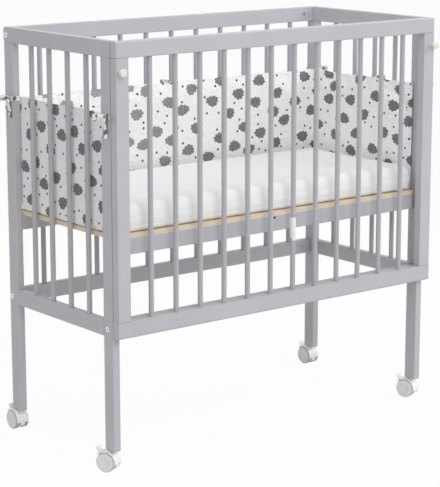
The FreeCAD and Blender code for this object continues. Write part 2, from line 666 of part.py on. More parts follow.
# --------------------------------------------------------------------------------------------
# Knobs: turned wooden heads on steel studs
# --------------------------------------------------------------------------------------------
for side_name, side in SIDES:
    knob_name = f"{side_name}_knob"
    axis_x = f"{side} * leg_axis_x"
    body = doc.addObject("PartDesign::Body", knob_name + "_blank")
    head = body.newObject("PartDesign::AdditiveCylinder", knob_name + "_head")
    bind(head, Radius="knob_head_diameter / 2", Height="knob_head_length")
    place(head, (axis_x, "barrier_front - knob_reach", "knob_level"), "y")
    round_edges(body, head, knob_name + "_rounded", "knob_round", is_rim)
    stud_start = "barrier_front - knob_reach + knob_head_length / 2"
    neck = doc.addObject("Part::Cone", knob_name + "_neck")
    bind(neck, Radius1="knob_head_diameter / 2 - knob_round / 2", Radius2="knob_neck_diameter / 2",
         Height="knob_reach - knob_head_length / 2 - rest_gap / 2")
    place(neck, (axis_x, stud_start, "knob_level"), "y")
    socket = rod(knob_name + "_bore", (axis_x, f"{stud_start} - rest_gap", "knob_level"), "y",
                 "stud_diameter / 2 + fit_gap", "knob_reach")
    finish(drilled(knob_name, join(knob_name + "_solid", [body, neck]), [socket]), knob_name)
    finish(rod(f"{side_name}_stud", (axis_x, stud_start, "knob_level"), "y", "stud_diameter / 2",
               f"frame_front + stud_grip - rest_gap - ({stud_start})"), f"{side_name}_knob_stud")


# --------------------------------------------------------------------------------------------
# Mattress and bumper: soft solids, lofted through level outlines
# --------------------------------------------------------------------------------------------
def soft_feature(name, shape, label):
    """A soft solid as a document object of its own."""
    feature = doc.addObject("Part::Feature", name)
    feature.Shape = shape
    feature.Placement = FreeCAD.Placement()
    return finish(feature, label)


def cushion_outline(low_x, low_y, high_x, high_y, radius, waist, level):
    """A rounded rectangle whose four sides are drawn in a little at their middles."""
    centres = ((high_x - radius, high_y - radius, 0), (low_x + radius, high_y - radius, 90),
               (low_x + radius, low_y + radius, 180), (high_x - radius, low_y + radius, 270))
    arcs = []
    for centre_x, centre_y, start in centres:
        points = []
        for angle in (start, start + 45, start + 90):
            points.append(Vector(centre_x + radius * math.cos(math.radians(angle)),
                                 centre_y + radius * math.sin(math.radians(angle)), level))
        arcs.append(points)
    middle = Vector((low_x + high_x) / 2, (low_y + high_y) / 2, level)
    edges = []
    for number, points in enumerate(arcs):
        edges.append(Part.Arc(*points).toShape())
        after = arcs[(number + 1) % 4][0]
        halfway = (points[2] + after) / 2
        halfway += (middle - halfway).normalize() * waist
        edges.append(Part.Arc(points[2], halfway, after).toShape())
    return Part.Wire(edges)


def mattress_shape():
    """A foam mattress with rounded edges, drawn-in sides and a low crown."""
    half = size("mattress_half")
    front = size("mattress_front")
    back = size("mattress_back")
    level = size("soft_level")
    thickness = size("mattress_thickness")
    edge = size("mattress_edge")
    quarter = edge * (1 - math.sqrt(0.5))
    crown_step = size("mattress_crown") / 2
    middle_inset = (back - front) / 4
    levels = ((0, edge), (quarter, quarter), (edge, 0), (thickness - edge, 0),
              (thickness - quarter, quarter), (thickness, edge),
              (thickness + crown_step, middle_inset),
              (thickness + 2 * crown_step, 1.6 * middle_inset))
    outlines = [cushion_outline(-half + inset, front + inset, half - inset, back - inset,
                                size("mattress_corner"), size("mattress_waist"), level + height)
                for height, inset in levels]
    return Part.makeLoft(outlines, True, True)


def bumper_outline(thickness, level):
    """A U-shaped strip that runs round both ends and the back, its open side to the front."""
    half = size("bumper_half") - size("bumper_thickness") / 2
    back = size("bumper_back") - size("bumper_thickness") / 2
    front = size("bed_front") + size("side_gap")
    corner_radius = size("bumper_corner") + size("bumper_thickness") / 2
    lines = []
    for shift, order in ((thickness / 2, 1), (-thickness / 2, -1)):
        radius = corner_radius + shift
        x = half + shift
        y = back + shift
        lean = radius * math.sqrt(0.5)
        strip = [
            (Vector(-x, front, level), Vector(-x, y - radius, level)),
            (Vector(-x, y - radius, level),
             Vector(-x + radius - lean, y - radius + lean, level), Vector(-x + radius, y, level)),
            (Vector(-x + radius, y, level), Vector(x - radius, y, level)),
            (Vector(x - radius, y, level),
             Vector(x - radius + lean, y - radius + lean, level), Vector(x, y - radius, level)),
            (Vector(x, y - radius, level), Vector(x, front, level)),
        ]
        lines.append([points[::-1] for points in strip[::-1]] if order < 0 else strip)
    outer, inner = lines
    joints = [(outer[-1][-1], inner[0][0]), (inner[-1][-1], outer[0][0])]
    edges = []
    for points in outer + [joints[0]] + inner + [joints[1]]:
        curve = Part.Arc(*points) if len(points) == 3 else Part.LineSegment(*points)
        edges.append(curve.toShape())
    return Part.Wire(edges)


def bumper_shape():
    """A thin padded strip, thinner at its sewn upper and lower edges."""
    full = size("bumper_thickness")
    low = size("soft_level")
    high = size("bumper_top")
    edge = full
    levels = ((low, full / 3), (low + edge, full), (high - edge, full), (high, full / 3))
    return Part.makeLoft([bumper_outline(thickness, level) for level, thickness in levels],
                         True, True)


soft_feature("mattress_solid", mattress_shape(), "mattress")
soft_feature("bumper_solid", bumper_shape(), "bumper")


# --------------------------------------------------------------------------------------------
# Ribbon ties
# --------------------------------------------------------------------------------------------
def loop_shape(length, depth, width, thickness):
    """A flat ribbon loop, closed at the origin, that runs out along +Y and swells along -X."""
    def teardrop(inset):
        tip = length - inset
        half = depth / 2 - inset
        start = 2 * inset
        back_edge = -inset
        far_edge = -depth + inset
        round_y = tip - half
        edges = [
            Part.LineSegment(Vector(back_edge, start, 0), Vector(back_edge, round_y, 0)),
            Part.Arc(Vector(back_edge, round_y, 0), Vector(-depth / 2, tip, 0),
                     Vector(far_edge, round_y, 0)),
            Part.LineSegment(Vector(far_edge, round_y, 0), Vector(back_edge, start, 0)),
        ]
        return Part.Face(Part.Wire([edge.toShape() for edge in edges]))
    ring = teardrop(0).cut(teardrop(thickness))
    return ring.extrude(Vector(0, 0, width))


def bow_shape():
    """A bow that lies on a plane facing -X: a knot, two loops and two hanging ends."""
    width = size("ribbon_width")
    thickness = size("ribbon_thickness")
    knot = size("bow_knot")
    tail_width = size("tail_width")
    tail_length = size("bow_tail_length")
    loop = loop_shape(size("bow_loop_length"), size("bow_loop_depth"), width, thickness)
    loop.rotate(Vector(), Vector(0, 0, 1), size("bow_loop_lift"))
    shapes = [loop.mirror(Vector(), Vector(0, 1, 0)),
              Part.makeBox(knot / 2, knot, knot, Vector(-knot / 2, -knot / 2, (width - knot) / 2))]
    for lean in (-1, 1):
        tail = Part.makeBox(thickness, tail_width, tail_length,
                            Vector(-thickness, -tail_width / 2, -tail_length))
        tail.rotate(Vector(0, 0, 0), Vector(1, 0, 0), lean * size("tail_spread"))
        tail.translate(Vector(-thickness * (1.5 + lean / 2), 0, width / 2))
        shapes.append(tail)
    return loop.fuse(shapes).removeSplitter()


def band_shape(low, high, gap):
    """A ribbon round an upright piece whose plan runs from one corner to the other."""
    width = size("ribbon_width")
    thickness = size("ribbon_thickness")

    def ring_block(spread):
        corner_low = Vector(low.x - spread, low.y - spread, 0)
        return Part.makeBox(high.x - low.x + 2 * spread, high.y - low.y + 2 * spread, width,
                            corner_low)
    return ring_block(gap + thickness).cut(ring_block(gap))


def bumper_room():
    """The space of the bumper and what lies inside it, which the ties stay out of."""
    gap = size("rest_gap")
    return Part.makeBox(2 * (size("bumper_half") + gap),
                        size("bumper_back") + gap - size("frame_front"),
                        size("crib_height"), Vector(-size("bumper_half") - gap,
                                                    size("frame_front"), 0))


def corner_tie(side, leg_y, at_front):
    """The band and bow of one corner, tied on the outer face of the leg."""
    gap = size("rest_gap")
    level = size("tie_level") - size("ribbon_width") / 2
    outer_x = side * size("half_length")
    inner_x = side * size("inner_half")
    low = Vector(min(outer_x, inner_x), leg_y - size("leg_width") / 2, 0)
    high = Vector(max(outer_x, inner_x), leg_y + size("leg_width") / 2, 0)
    band = band_shape(low, high, gap)
    band.translate(Vector(0, 0, level))
    band = band.cut(bumper_room())
    if at_front:
        barrier_room = Part.makeBox(2 * size("crib_length"), size("leg_width"), size("crib_height"),
                                    Vector(-size("crib_length"),
                                           size("frame_front") + gap - size("leg_width"), 0))
        band = band.cut(barrier_room)
    bow = bow_shape()
    if side > 0:
        bow.rotate(Vector(), Vector(0, 0, 1), 180)
    bow.translate(Vector(side * (size("half_length") + gap + size("ribbon_thickness") / 2), leg_y,
                         level))
    return band.fuse(bow).removeSplitter()


def slat_tie(slat_x, slat_y, turn):
    """The band and bow of one slat, its bow turned away from the bed."""
    width = size("ribbon_width")
    inner = size("slat_radius") + size("rest_gap")
    outer = inner + size("ribbon_thickness")
    at = Vector(slat_x, slat_y, size("tie_level") - width / 2)
    band = Part.makeCylinder(outer, width, at).cut(Part.makeCylinder(inner, width, at))
    bow = bow_shape()
    bow.scale(size("slat_bow_scale"), Vector(0, 0, width / 2))
    bow.translate(Vector(-inner - size("ribbon_thickness") / 2, 0, 0))
    bow.rotate(Vector(), Vector(0, 0, 1), turn)
    bow.translate(at)
    return band.cut(bumper_room()).fuse(bow).removeSplitter()


corner_ties = [corner_tie(side, size(leg_y), end_name == "front")
               for _, side in SIDES for end_name, leg_y in ENDS]
soft_feature("corner_ties_solid", Part.makeCompound(corner_ties), "corner_ties")

middle_slat = int(size("back_slat_count")) // 2
slat_ties = [
    slat_tie(size("back_first") + middle_slat * size("back_pitch"), size("back_rail_y"), -90),
    slat_tie(size("leg_axis_x"),
             size("end_first") + (size("end_tie_slat") - 1) * size("end_pitch"), 180),
]
soft_feature("slat_ties_solid", Part.makeCompound(slat_ties), "slat_ties")

# --------------------------------------------------------------------------------------------
# Casters: each is built with its swivel axis on the origin, the wheels trailing along +Y
# --------------------------------------------------------------------------------------------
def across(name, at_y, at_z, radius, low, length):
    """A rod that lies across the caster, along X."""
    return rod(name, (low, at_y, at_z), "x", radius, length)


def caster_wheels(name):
    """Two wheels with rounded treads, dished outer faces and blind bores."""
    wheels = []
    for side_name, side in SIDES:
        wheel = f"{name}_{side_name}_wheel"
        body = doc.addObject("PartDesign::Body", wheel + "_blank")
        disc = body.newObject("PartDesign::AdditiveCylinder", wheel + "_disc")
        bind(disc, Radius="wheel_radius", Height="wheel_width")
        place(disc, (corner(side, "wheel_inner", "wheel_outer"), "trail", "wheel_radius"), "x")
        round_edges(body, disc, wheel + "_tread", "wheel_round", is_rim)
        dish = across(wheel + "_dish", "trail", "wheel_radius", "wheel_radius - rim_width",
                      corner(side, "wheel_outer - hub_recess", "wheel_outer + hub_recess"),
                      "2 * hub_recess")
        bore = across(wheel + "_bore", "trail", "wheel_radius", "axle_diameter / 2 + run_gap",
                      corner(side, "wheel_inner - rest_gap", "wheel_outer - axle_cover"),
                      "wheel_width - axle_cover + rest_gap")
        wheels.append(drilled(wheel, body, [dish, bore]))
    return group(name + "_wheel_pair", wheels)


def caster_hood(name):
    """The body between the wheels, with a hood over the treads and an eye for the lever."""
    half_hood = "(wheel_outer - hood_side)"
    outer = across(name + "_hood_outer", "trail", "wheel_radius", "hood_outer", f"-{half_hood}",
                   f"2 * {half_hood}")
    inner = across(name + "_hood_inner", "trail", "wheel_radius", "hood_inner", f"-{half_hood}",
                   f"2 * {half_hood}")
    shell = drilled(name + "_hood_shell", outer, [inner])
    sector = doc.addObject("Part::Cylinder", name + "_hood_sector")
    bind(sector, Radius="2 * hood_outer", Height="wheel_outer * 2",
         Angle="hood_rear_angle + hood_front_angle")
    sector.Placement = FreeCAD.Placement(Vector(), Rotation(Vector(0, 1, 0), 90))
    sector_turn = doc.addObject("Part::Compound", name + "_hood_sector_turned")
    sector_turn.Links = [sector]
    sector_turn.Placement = FreeCAD.Placement(Vector(), Rotation(Vector(1, 0, 0), 0))
    bind(sector_turn, Placement__Base__x="-wheel_outer", Placement__Base__y="trail",
         Placement__Base__z="wheel_radius")
    sector_turn.setExpression("Placement.Rotation.Angle", bound("(180 - hood_rear_angle) * 1 deg"))
    shell_part = common(name + "_hood_part", shell, sector_turn)
    web_disc = across(name + "_web_disc", "trail", "wheel_radius", "hood_outer",
                      "-web_thickness / 2", "web_thickness")
    web_room = block(name + "_web_room",
                     ("-web_thickness", "trail - 2 * hood_outer", "web_floor_gap"),
                     ("2 * web_thickness", "4 * hood_outer",
                      "wheel_radius + hood_outer - web_floor_gap"))
    web = common(name + "_web", web_disc, web_room)
    eye = across(name + "_eye", "pivot_y", "pivot_z", "lever_boss", "-web_thickness / 2",
                 "web_thickness")
    solid = join(name + "_hood_solid", [shell_part, web, eye])
    holes = [
        rod(name + "_stem_hole", ("0", "0", "caster_height + socket_depth - stem_length - rest_gap"),
            "z", "stem_diameter / 2 + fit_gap", "stem_length"),
        across(name + "_axle_hole", "trail", "wheel_radius", "axle_diameter / 2 + fit_gap",
               "-web_thickness", "2 * web_thickness"),
        across(name + "_pin_hole", "pivot_y", "pivot_z", "lever_pin_diameter / 2 + run_gap",
               "-web_thickness", "2 * web_thickness"),
    ]
    return drilled(name + "_hood_form", solid, holes)


def caster_lever(name):
    """The brake lever: two bosses on a moulded pin and a paddle that stands up behind."""
    bosses = across(name + "_lever_bosses", "pivot_y", "pivot_z", "lever_boss",
                    "-lever_boss_reach", "2 * lever_boss_reach")
    paddle = block(name + "_lever_bar", ("-lever_width / 2", "-lever_thickness / 2", "0"),
                   ("lever_width", "lever_thickness", "lever_length"))
    tilted = doc.addObject("Part::Compound", name + "_lever_tilted")
    tilted.Links = [paddle]
    tilted.Placement = FreeCAD.Placement(Vector(), Rotation(Vector(-1, 0, 0), 10))
    bind(tilted, Placement__Base__y="pivot_y", Placement__Base__z="pivot_z")
    tilted.setExpression("Placement.Rotation.Angle", bound("lever_tilt * 1 deg"))
    room = across(name + "_lever_room", "pivot_y", "pivot_z", "lever_boss + 2 * rest_gap",
                  "-web_thickness / 2 - rest_gap", "web_thickness + 2 * rest_gap")
    pin = across(name + "_lever_pin", "pivot_y", "pivot_z", "lever_pin_diameter / 2",
                 "-lever_boss_reach / 2", "lever_boss_reach")
    shell = drilled(name + "_lever_body", join(name + "_lever_outline", [bosses, tilted]), [room])
    return join(name + "_lever_form", [shell, pin])


sockets = []
for end_name, leg_y in ENDS:
    for side_name, side in SIDES:
        caster = f"{end_name}_{side_name}_caster"
        turn = f"{end_name}_{side_name}_turn"
        stem = rod(caster + "_stem_form", ("0", "0", "caster_height + socket_depth - stem_length"), "z",
                   "stem_diameter / 2", "stem_length - 3 * rest_gap")
        axle = across(caster + "_axle_form", "trail", "wheel_radius", "axle_diameter / 2",
                      "-(wheel_outer - axle_cover - rest_gap)",
                      "2 * (wheel_outer - axle_cover - rest_gap)")
        pieces = {"hood": caster_hood(caster), "stem": stem, "axle": axle,
                  "wheels": caster_wheels(caster), "brake_lever": caster_lever(caster)}
        for piece_name, piece in pieces.items():
            placed = doc.addObject("Part::Compound", f"{caster}_{piece_name}_placed")
            placed.Links = [piece]
            placed.Placement = FreeCAD.Placement(Vector(), Rotation(Vector(0, 0, 1), 10))
            bind(placed, Placement__Base__x=f"{side} * leg_axis_x", Placement__Base__y=leg_y)
            placed.setExpression("Placement.Rotation.Angle", bound(f"{turn} * 1 deg"))
            finish(placed, f"{caster}_{piece_name}")
        at = (f"{side} * leg_axis_x", leg_y)
        sleeve = rod(caster + "_sleeve", (*at, "caster_height"), "z", "socket_diameter / 2",
                     "socket_depth")
        flange = rod(caster + "_flange", (*at, "caster_height - flange_thickness"), "z",
                     "flange_diameter / 2", "flange_thickness")
        bore = rod(caster + "_socket_bore", (*at, "0"), "z", "stem_diameter / 2 + run_gap",
                   "caster_height + socket_depth - rest_gap")
        sockets.append(drilled(caster + "_socket", join(caster + "_socket_solid",
                                                        [sleeve, flange]), [bore]))
finish(group("caster_sockets_group", sockets), "caster_sockets")

# --------------------------------------------------------------------------------------------
# Checks and files
# --------------------------------------------------------------------------------------------
doc.recompute()
failed = [item.Name for item in doc.Objects if {"Invalid", "Error"} & set(item.State)]
if failed:
    raise RuntimeError(f"failed objects: {failed}")
for item in finished:
    shape = item.Shape
    if shape.isNull() or not shape.isValid() or not shape.Solids:
        raise RuntimeError(f"{item.Label} has no valid solid")

os.makedirs("parts", exist_ok=True)
for item in finished:
    item.Shape.exportStep(f"parts/{item.Label}.step")
print(f"{len(finished)} sub-parts written")
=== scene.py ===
"""Dresses the bedside sleeper crib: finishes, slats, soft goods, ties, light and camera.

Everything is in metres in the frame's own axes: +Z up, +X along the crib, +Y from the lift-off
barrier to the back, with the origin on the floor under the middle of the crib.
"""

import json
import logging
import math
import random
from dataclasses import dataclass, field
from enum import Enum
from functools import partial
from typing import Callable, Sequence

import bmesh
import bpy
from mathutils import Matrix, Vector


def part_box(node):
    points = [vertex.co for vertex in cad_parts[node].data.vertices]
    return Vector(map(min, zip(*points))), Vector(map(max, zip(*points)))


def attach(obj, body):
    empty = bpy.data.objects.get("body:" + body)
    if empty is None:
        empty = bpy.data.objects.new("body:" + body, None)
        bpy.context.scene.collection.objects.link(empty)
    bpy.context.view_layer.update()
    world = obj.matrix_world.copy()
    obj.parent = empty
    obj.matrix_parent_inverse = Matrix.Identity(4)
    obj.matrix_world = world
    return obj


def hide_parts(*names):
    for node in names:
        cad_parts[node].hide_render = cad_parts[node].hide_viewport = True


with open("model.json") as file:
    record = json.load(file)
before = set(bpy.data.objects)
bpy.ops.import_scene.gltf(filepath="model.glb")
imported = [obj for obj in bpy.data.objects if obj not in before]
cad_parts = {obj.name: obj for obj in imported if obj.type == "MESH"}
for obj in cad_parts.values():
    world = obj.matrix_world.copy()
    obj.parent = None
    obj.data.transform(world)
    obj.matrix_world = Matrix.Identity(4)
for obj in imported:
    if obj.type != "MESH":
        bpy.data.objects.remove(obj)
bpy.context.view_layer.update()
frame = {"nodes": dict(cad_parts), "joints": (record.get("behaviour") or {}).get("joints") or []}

MM = 0.001
PAINT = "BDBCC2"
log = logging.getLogger("bedside_crib")

Socket = bpy.types.NodeSocket
Material = bpy.types.Material
AddNode = Callable[..., Socket]
Spot = tuple[float, float, float]


# ----------------------------------------------------------------------------------------------
# Colours and node building
# ----------------------------------------------------------------------------------------------
def linear(code: str) -> tuple[float, float, float, float]:
    """Turns an sRGB colour into a linear one.

    Args:
        code: Its six hex digits.

    Returns:
        Linear red, green and blue, and an alpha of one.
    """
    values = [int(code[start:start + 2], 16) / 255 for start in (0, 2, 4)]
    light = [value / 12.92 if value <= 0.04045 else ((value + 0.055) / 1.055) ** 2.4
             for value in values]
    return (*light, 1.0)


def add(tree: bpy.types.NodeTree, kind: str, inputs: dict | Sequence = (), output: int | str = 0,
        stops: Sequence[tuple[float, str]] = (), **settings: object) -> Socket | None:
    """Adds one node with its settings, and fills or links its inputs.

    Args:
        tree: The tree that receives the node.
        kind: Blender's identifier of the node; a leading "ShaderNode" may be left out.
        inputs: Values or sockets, by the input's name or number, or in order.
        output: Name or number of the wanted output.
        stops: Positions and sRGB hex colours, if the node has a colour ramp.
        **settings: Properties of the node itself.

    Returns:
        The wanted output, or None if the node has no outputs.
    """
    node = tree.nodes.new(kind if "Node" in kind else "ShaderNode" + kind)
    for name, value in settings.items():
        setattr(node, name, value)
    for name, value in inputs.items() if isinstance(inputs, dict) else enumerate(inputs):
        if isinstance(value, Socket):
            tree.links.new(value, node.inputs[name])
        else:
            node.inputs[name].default_value = value
    for number, (position, code) in enumerate(stops):
        band = node.color_ramp.elements
        stop = band[number] if number < 2 else band.new(position)
        stop.position = position
        stop.color = linear(code)
    return node.outputs[output] if node.outputs else None


def per_mm(size_mm: float) -> float:
    """Pattern scale, per metre, whose features repeat about every size_mm millimetres."""
    return 1 / (size_mm * MM)


def wave_scale(size_mm: float) -> float:
    """Scale of a wave texture whose bands repeat every size_mm: its own band is pi/10 wide."""
    return math.pi / 10 * per_mm(size_mm)


class Axis(Enum):
    """The direction in which a piece of timber or metal runs."""

    X = (1.0, 0.0, 0.0)
    Y = (0.0, 1.0, 0.0)
    Z = (0.0, 0.0, 1.0)


def stretched(node: AddNode, run: Axis, draw: float) -> Socket:
    """Squeezes Object coordinates along one axis, so that a pattern runs out along it.

    Args:
        node: Adds a node to the material's tree.
        run: The axis along which the pattern runs.
        draw: How many times longer than wide the features are.

    Returns:
        The coordinates.
    """
    return node("Mapping", {"Vector": node("TexCoord", output="Object"),
                            "Scale": [1 / draw if part else 1.0 for part in run.value]})


def from_axis(node: AddNode, centre: Spot, axle: Spot) -> tuple[Socket, Socket]:
    """Measures each place of a turned piece from its axis.

    Args:
        node: Adds a node to the material's tree.
        centre: A point of the axis.
        axle: The axis's direction.

    Returns:
        Distance from the axis and distance along it, in metres.
    """
    arm = node("VectorMath", [node("TexCoord", output="Object"), centre], operation="SUBTRACT")
    swept = node("VectorMath", [arm, axle], operation="CROSS_PRODUCT")
    return (node("VectorMath", [swept], "Value", operation="LENGTH"),
            node("VectorMath", [arm, axle], "Value", operation="DOT_PRODUCT"))


def bright_rays(node: AddNode) -> Socket:
    """Tells rays that the camera, a mirror or glass sends out from light on things.

    Args:
        node: Adds a node to the tree.

    Returns:
        One for the former and zero for the latter.
    """
    kinds = [node("LightPath", output=f"Is {kind} Ray")
             for kind in ("Camera", "Glossy", "Transmission")]
    first = node("Math", kinds[:2], operation="MAXIMUM")
    return node("Math", [first, kinds[2]], operation="MAXIMUM")


# ----------------------------------------------------------------------------------------------
# Finishes
# ----------------------------------------------------------------------------------------------
@dataclass(frozen=True)
class Finish:
    """A finish: what the piece is made of and how its surface was made."""

    name: str
    colour: str
    roughness: float = 0.5

    def shade(self, node: AddNode) -> dict:
        """Builds the pattern and gives the surface shader's inputs by name."""
        raise NotImplementedError

    def surface(self, node: AddNode) -> Socket:
        """Builds the surface shader."""
        return node("BsdfPrincipled", self.shade(node))

    def build(self) -> Material:
        """Builds the material."""
        material = bpy.data.materials.new(self.name)
        material.use_nodes = True
        material.node_tree.nodes.clear()
        node = partial(add, material.node_tree)
        node("OutputMaterial", {"Surface": self.surface(node)})
        return material


@dataclass(frozen=True)
class SatinPaint(Finish):
    """Sprayed satin paint on planed beech: smooth, with the grain just telling through.

    To the eye it is one even cool grey with a broad soft gloss, and close up it has fine long
    grain lines and the faint dimpling of sprayed lacquer.
    """

    run: Axis = Axis.X
    grain_mm: float = 1.6
    grain_draw: float = 40.0
    dimple_mm: float = 2.4
    cloud_mm: float = 120.0
    deep: str = "B9B8BD"
    pale: str = "C1C0C6"

    def shade(self, node: AddNode) -> dict:
        """Builds grain and spray dimples as relief, with a slight drift of tone."""
        place = node("TexCoord", output="Object")
        grain = node("TexNoise", {"Vector": stretched(node, self.run, self.grain_draw),
                                  "Scale": per_mm(self.grain_mm), "Detail": 3.0, "Roughness": 0.6})
        dimple = node("TexNoise", {"Vector": place, "Scale": per_mm(self.dimple_mm), "Detail": 1.0})
        drift = node("TexNoise", {"Vector": place, "Scale": per_mm(self.cloud_mm), "Detail": 2.0})
        height = node("Math", [dimple, 0.35, grain], operation="MULTIPLY_ADD")
        fine = node("Math", [grain, 0.3], operation="MULTIPLY")
        mixed = node("Math", [drift, 0.7, fine], operation="MULTIPLY_ADD")
        return {"Base Color": node("ValToRGB", [mixed], stops=(
                    (0.30, self.deep), (0.52, self.colour), (0.72, self.pale))),
                "Roughness": node("Math", [drift, 0.10, self.roughness - 0.05],
                                  operation="MULTIPLY_ADD"),
                "Normal": node("Bump", {"Height": height, "Strength": 0.10,
                                        "Distance": 0.25 * MM})}


@dataclass(frozen=True)
class BirchPly(Finish):
    """Sanded birch plywood: pale veneers, and dark glue lines wherever the edge is cut."""

    bottom: float = 0.0
    ply_mm: float = 2.0
    glue_mm: float = 0.22
    grain_mm: float = 2.2

    def shade(self, node: AddNode) -> dict:
        """Builds veneers stacked in height, with grain along the board."""
        height = node("SeparateXYZ", [node("TexCoord", output="Object")], "Z")
        above = node("Math", [height, self.bottom - 0.1 * MM], operation="SUBTRACT")
        layer = node("Math", [above, self.ply_mm * MM], operation="DIVIDE")
        within = node("Math", [layer], operation="FRACT")
        glue = node("Math", [within, 1 - self.glue_mm / self.ply_mm], operation="GREATER_THAN")
        cross = node("Math", [node("Math", [layer], operation="FLOOR"), 2.0], operation="MODULO")
        grain = node("TexNoise", {"Vector": stretched(node, Axis.X, 30), "Detail": 4.0,
                                  "Scale": per_mm(self.grain_mm), "Roughness": 0.65})
        tone = node("ValToRGB", [grain], stops=((0.30, "E6D6BE"), (0.55, self.colour),
                                                (0.75, "F4EADA")))
        for mask, share, code in ((cross, 0.35, "CBAA84"), (glue, 0.45, "8C6C50")):
            part = node("Math", [mask, share], operation="MULTIPLY")
            tone = node("Mix", {0: part, 6: tone, 7: linear(code)}, 2, data_type="RGBA")
        return {"Base Color": tone, "Roughness": self.roughness,
                "Normal": node("Bump", {"Height": grain, "Strength": 0.12, "Distance": 0.2 * MM})}


@dataclass(frozen=True)
class TurnedWood(Finish):
    """Turned wood under clear lacquer: fine growth rings and a low gloss."""

    run: Axis = Axis.Y
    ring_mm: float = 1.7

    def shade(self, node: AddNode) -> dict:
        """Builds growth rings that run along the piece."""
        grain = node("TexNoise", {"Vector": stretched(node, self.run, 12), "Detail": 3.0,
                                  "Scale": per_mm(self.ring_mm), "Distortion": 0.6})
        return {"Base Color": node("ValToRGB", [grain], stops=(
                    (0.32, "DCD2BE"), (0.55, self.colour), (0.75, "F4F0E6"))),
                "Roughness": self.roughness, "Coat Weight": 0.25, "Coat Roughness": 0.3,
                "Normal": node("Bump", {"Height": grain, "Strength": 0.1, "Distance": 0.15 * MM})}


@dataclass(frozen=True)
class TurnedKnob(TurnedWood):
    """Pale turned wood under lacquer, with one fine ring cut into the face by the lathe."""

    centre: Spot = (0.0, 0.0, 0.0)
    axle: Spot = Axis.Y.value
    cut_mm: float = 5.4
    cut_half_mm: float = 0.55

    def shade(self, node: AddNode) -> dict:
        """Adds the cut ring to the turned wood, in relief and as a line of painted shade."""
        wood = super().shade(node)
        radius = from_axis(node, self.centre, self.axle)[0]
        past = node("Math", [radius, self.cut_mm * MM], operation="SUBTRACT")
        off = node("Math", [past], operation="ABSOLUTE")
        cut = node("MapRange", {"Value": off, "From Min": self.cut_half_mm * MM, "From Max": 0.0})
        # painted shade: a darker line along the cut ring
        shadow = node("Math", [cut, 0.6], operation="MULTIPLY")
        return {**wood,
                "Base Color": node("Mix", {0: shadow, 6: wood["Base Color"], 7: linear("B9B0A0")},
                                   2, data_type="RGBA"),
                "Normal": node("Bump", {"Height": cut, "Strength": 1.0, "Normal": wood["Normal"],
                                        "Distance": -self.cut_half_mm * MM})}


@dataclass(frozen=True)
class PlatedMetal(Finish):
    """Bright plated metal with fine turning marks, which break its reflections into streaks."""

    run: Axis = Axis.X
    mark_mm: float = 3.5

    def shade(self, node: AddNode) -> dict:
        """Builds turning marks in relief and in the gloss."""
        marks = node("TexNoise", {"Vector": stretched(node, self.run, 0.1), "Detail": 2.0,
                                  "Scale": per_mm(self.mark_mm)})
        return {"Base Color": linear(self.colour), "Metallic": 1.0,
                "Roughness": node("Math", [marks, 0.16, self.roughness - 0.08],
                                  operation="MULTIPLY_ADD"),
                "Normal": node("Bump", {"Height": marks, "Strength": 0.15,
                                        "Distance": 0.08 * MM})}


@dataclass(frozen=True)
class SocketHead(PlatedMetal):
    """Bright nickel plate, with painted shade down in the screw's hexagon socket."""

    socket_shade_colour: str = "2E2E30"
    socket_mm: float = 5.0

    def shade(self, node: AddNode) -> dict:
        """Paints shade on the plate where its own walls keep the light out."""
        # painted shade: ambient occlusion darkens the base colour inside the hexagon socket
        walls = node("AmbientOcclusion", {"Distance": self.socket_mm * MM}, "AO", samples=8,
                     only_local=True)
        return {**super().shade(node), "Base Color": node("ValToRGB", [walls], stops=(
            (0.45, self.socket_shade_colour), (0.8, self.colour)))}


@dataclass(frozen=True)
class MouldedPlastic(Finish):
    """Injection-moulded nylon: even colour, fine spark texture and a soft sheen."""

    spark_mm: float = 0.6
    fleck_mm: float = 9.0

    def shade(self, node: AddNode) -> dict:
        """Builds the spark texture of the mould."""
        place = node("TexCoord", output="Object")
        spark = node("TexNoise", {"Vector": place, "Scale": per_mm(self.spark_mm), "Detail": 2.0})
        flow = node("TexNoise", {"Vector": place, "Scale": per_mm(self.fleck_mm)})
        return {"Base Color": linear(self.colour),
                "Roughness": node("Math", [flow, 0.12, self.roughness - 0.06],
                                  operation="MULTIPLY_ADD"),
                "Normal": node("Bump", {"Height": spark, "Strength": 0.08, "Distance": 0.1 * MM})}


@dataclass(frozen=True)
class CasterTread(Finish):
    """A nylon caster wheel: pale moulded face, darker soft tread round it."""

    centre: Spot = (0.0, 0.0, 0.0)
    axle: Spot = Axis.X.value
    tread_colour: str = "B8B8BB"
    tread_from: float = 20.9
    groove_mm: float = 1.5

    def shade(self, node: AddNode) -> dict:
        """Builds the tread as all that lies past a radius from the axle."""
        radius, across = from_axis(node, self.centre, self.axle)
        rim = node("MapRange", {"Value": radius, "From Min": (self.tread_from - 0.15) * MM,
                                "From Max": (self.tread_from + 0.15) * MM})
        phase = node("Math", [across, 2 * math.pi * per_mm(self.groove_mm)], operation="MULTIPLY")
        height = node("Math", [node("Math", [phase], operation="SINE"), rim], operation="MULTIPLY")
        return {"Base Color": node("Mix", {0: rim, 6: linear(self.colour),
                                           7: linear(self.tread_colour)}, 2, data_type="RGBA"),
                "Roughness": node("Math", [rim, 0.22, self.roughness], operation="MULTIPLY_ADD"),
                "Normal": node("Bump", {"Height": height, "Strength": 0.2, "Distance": 0.15 * MM})}


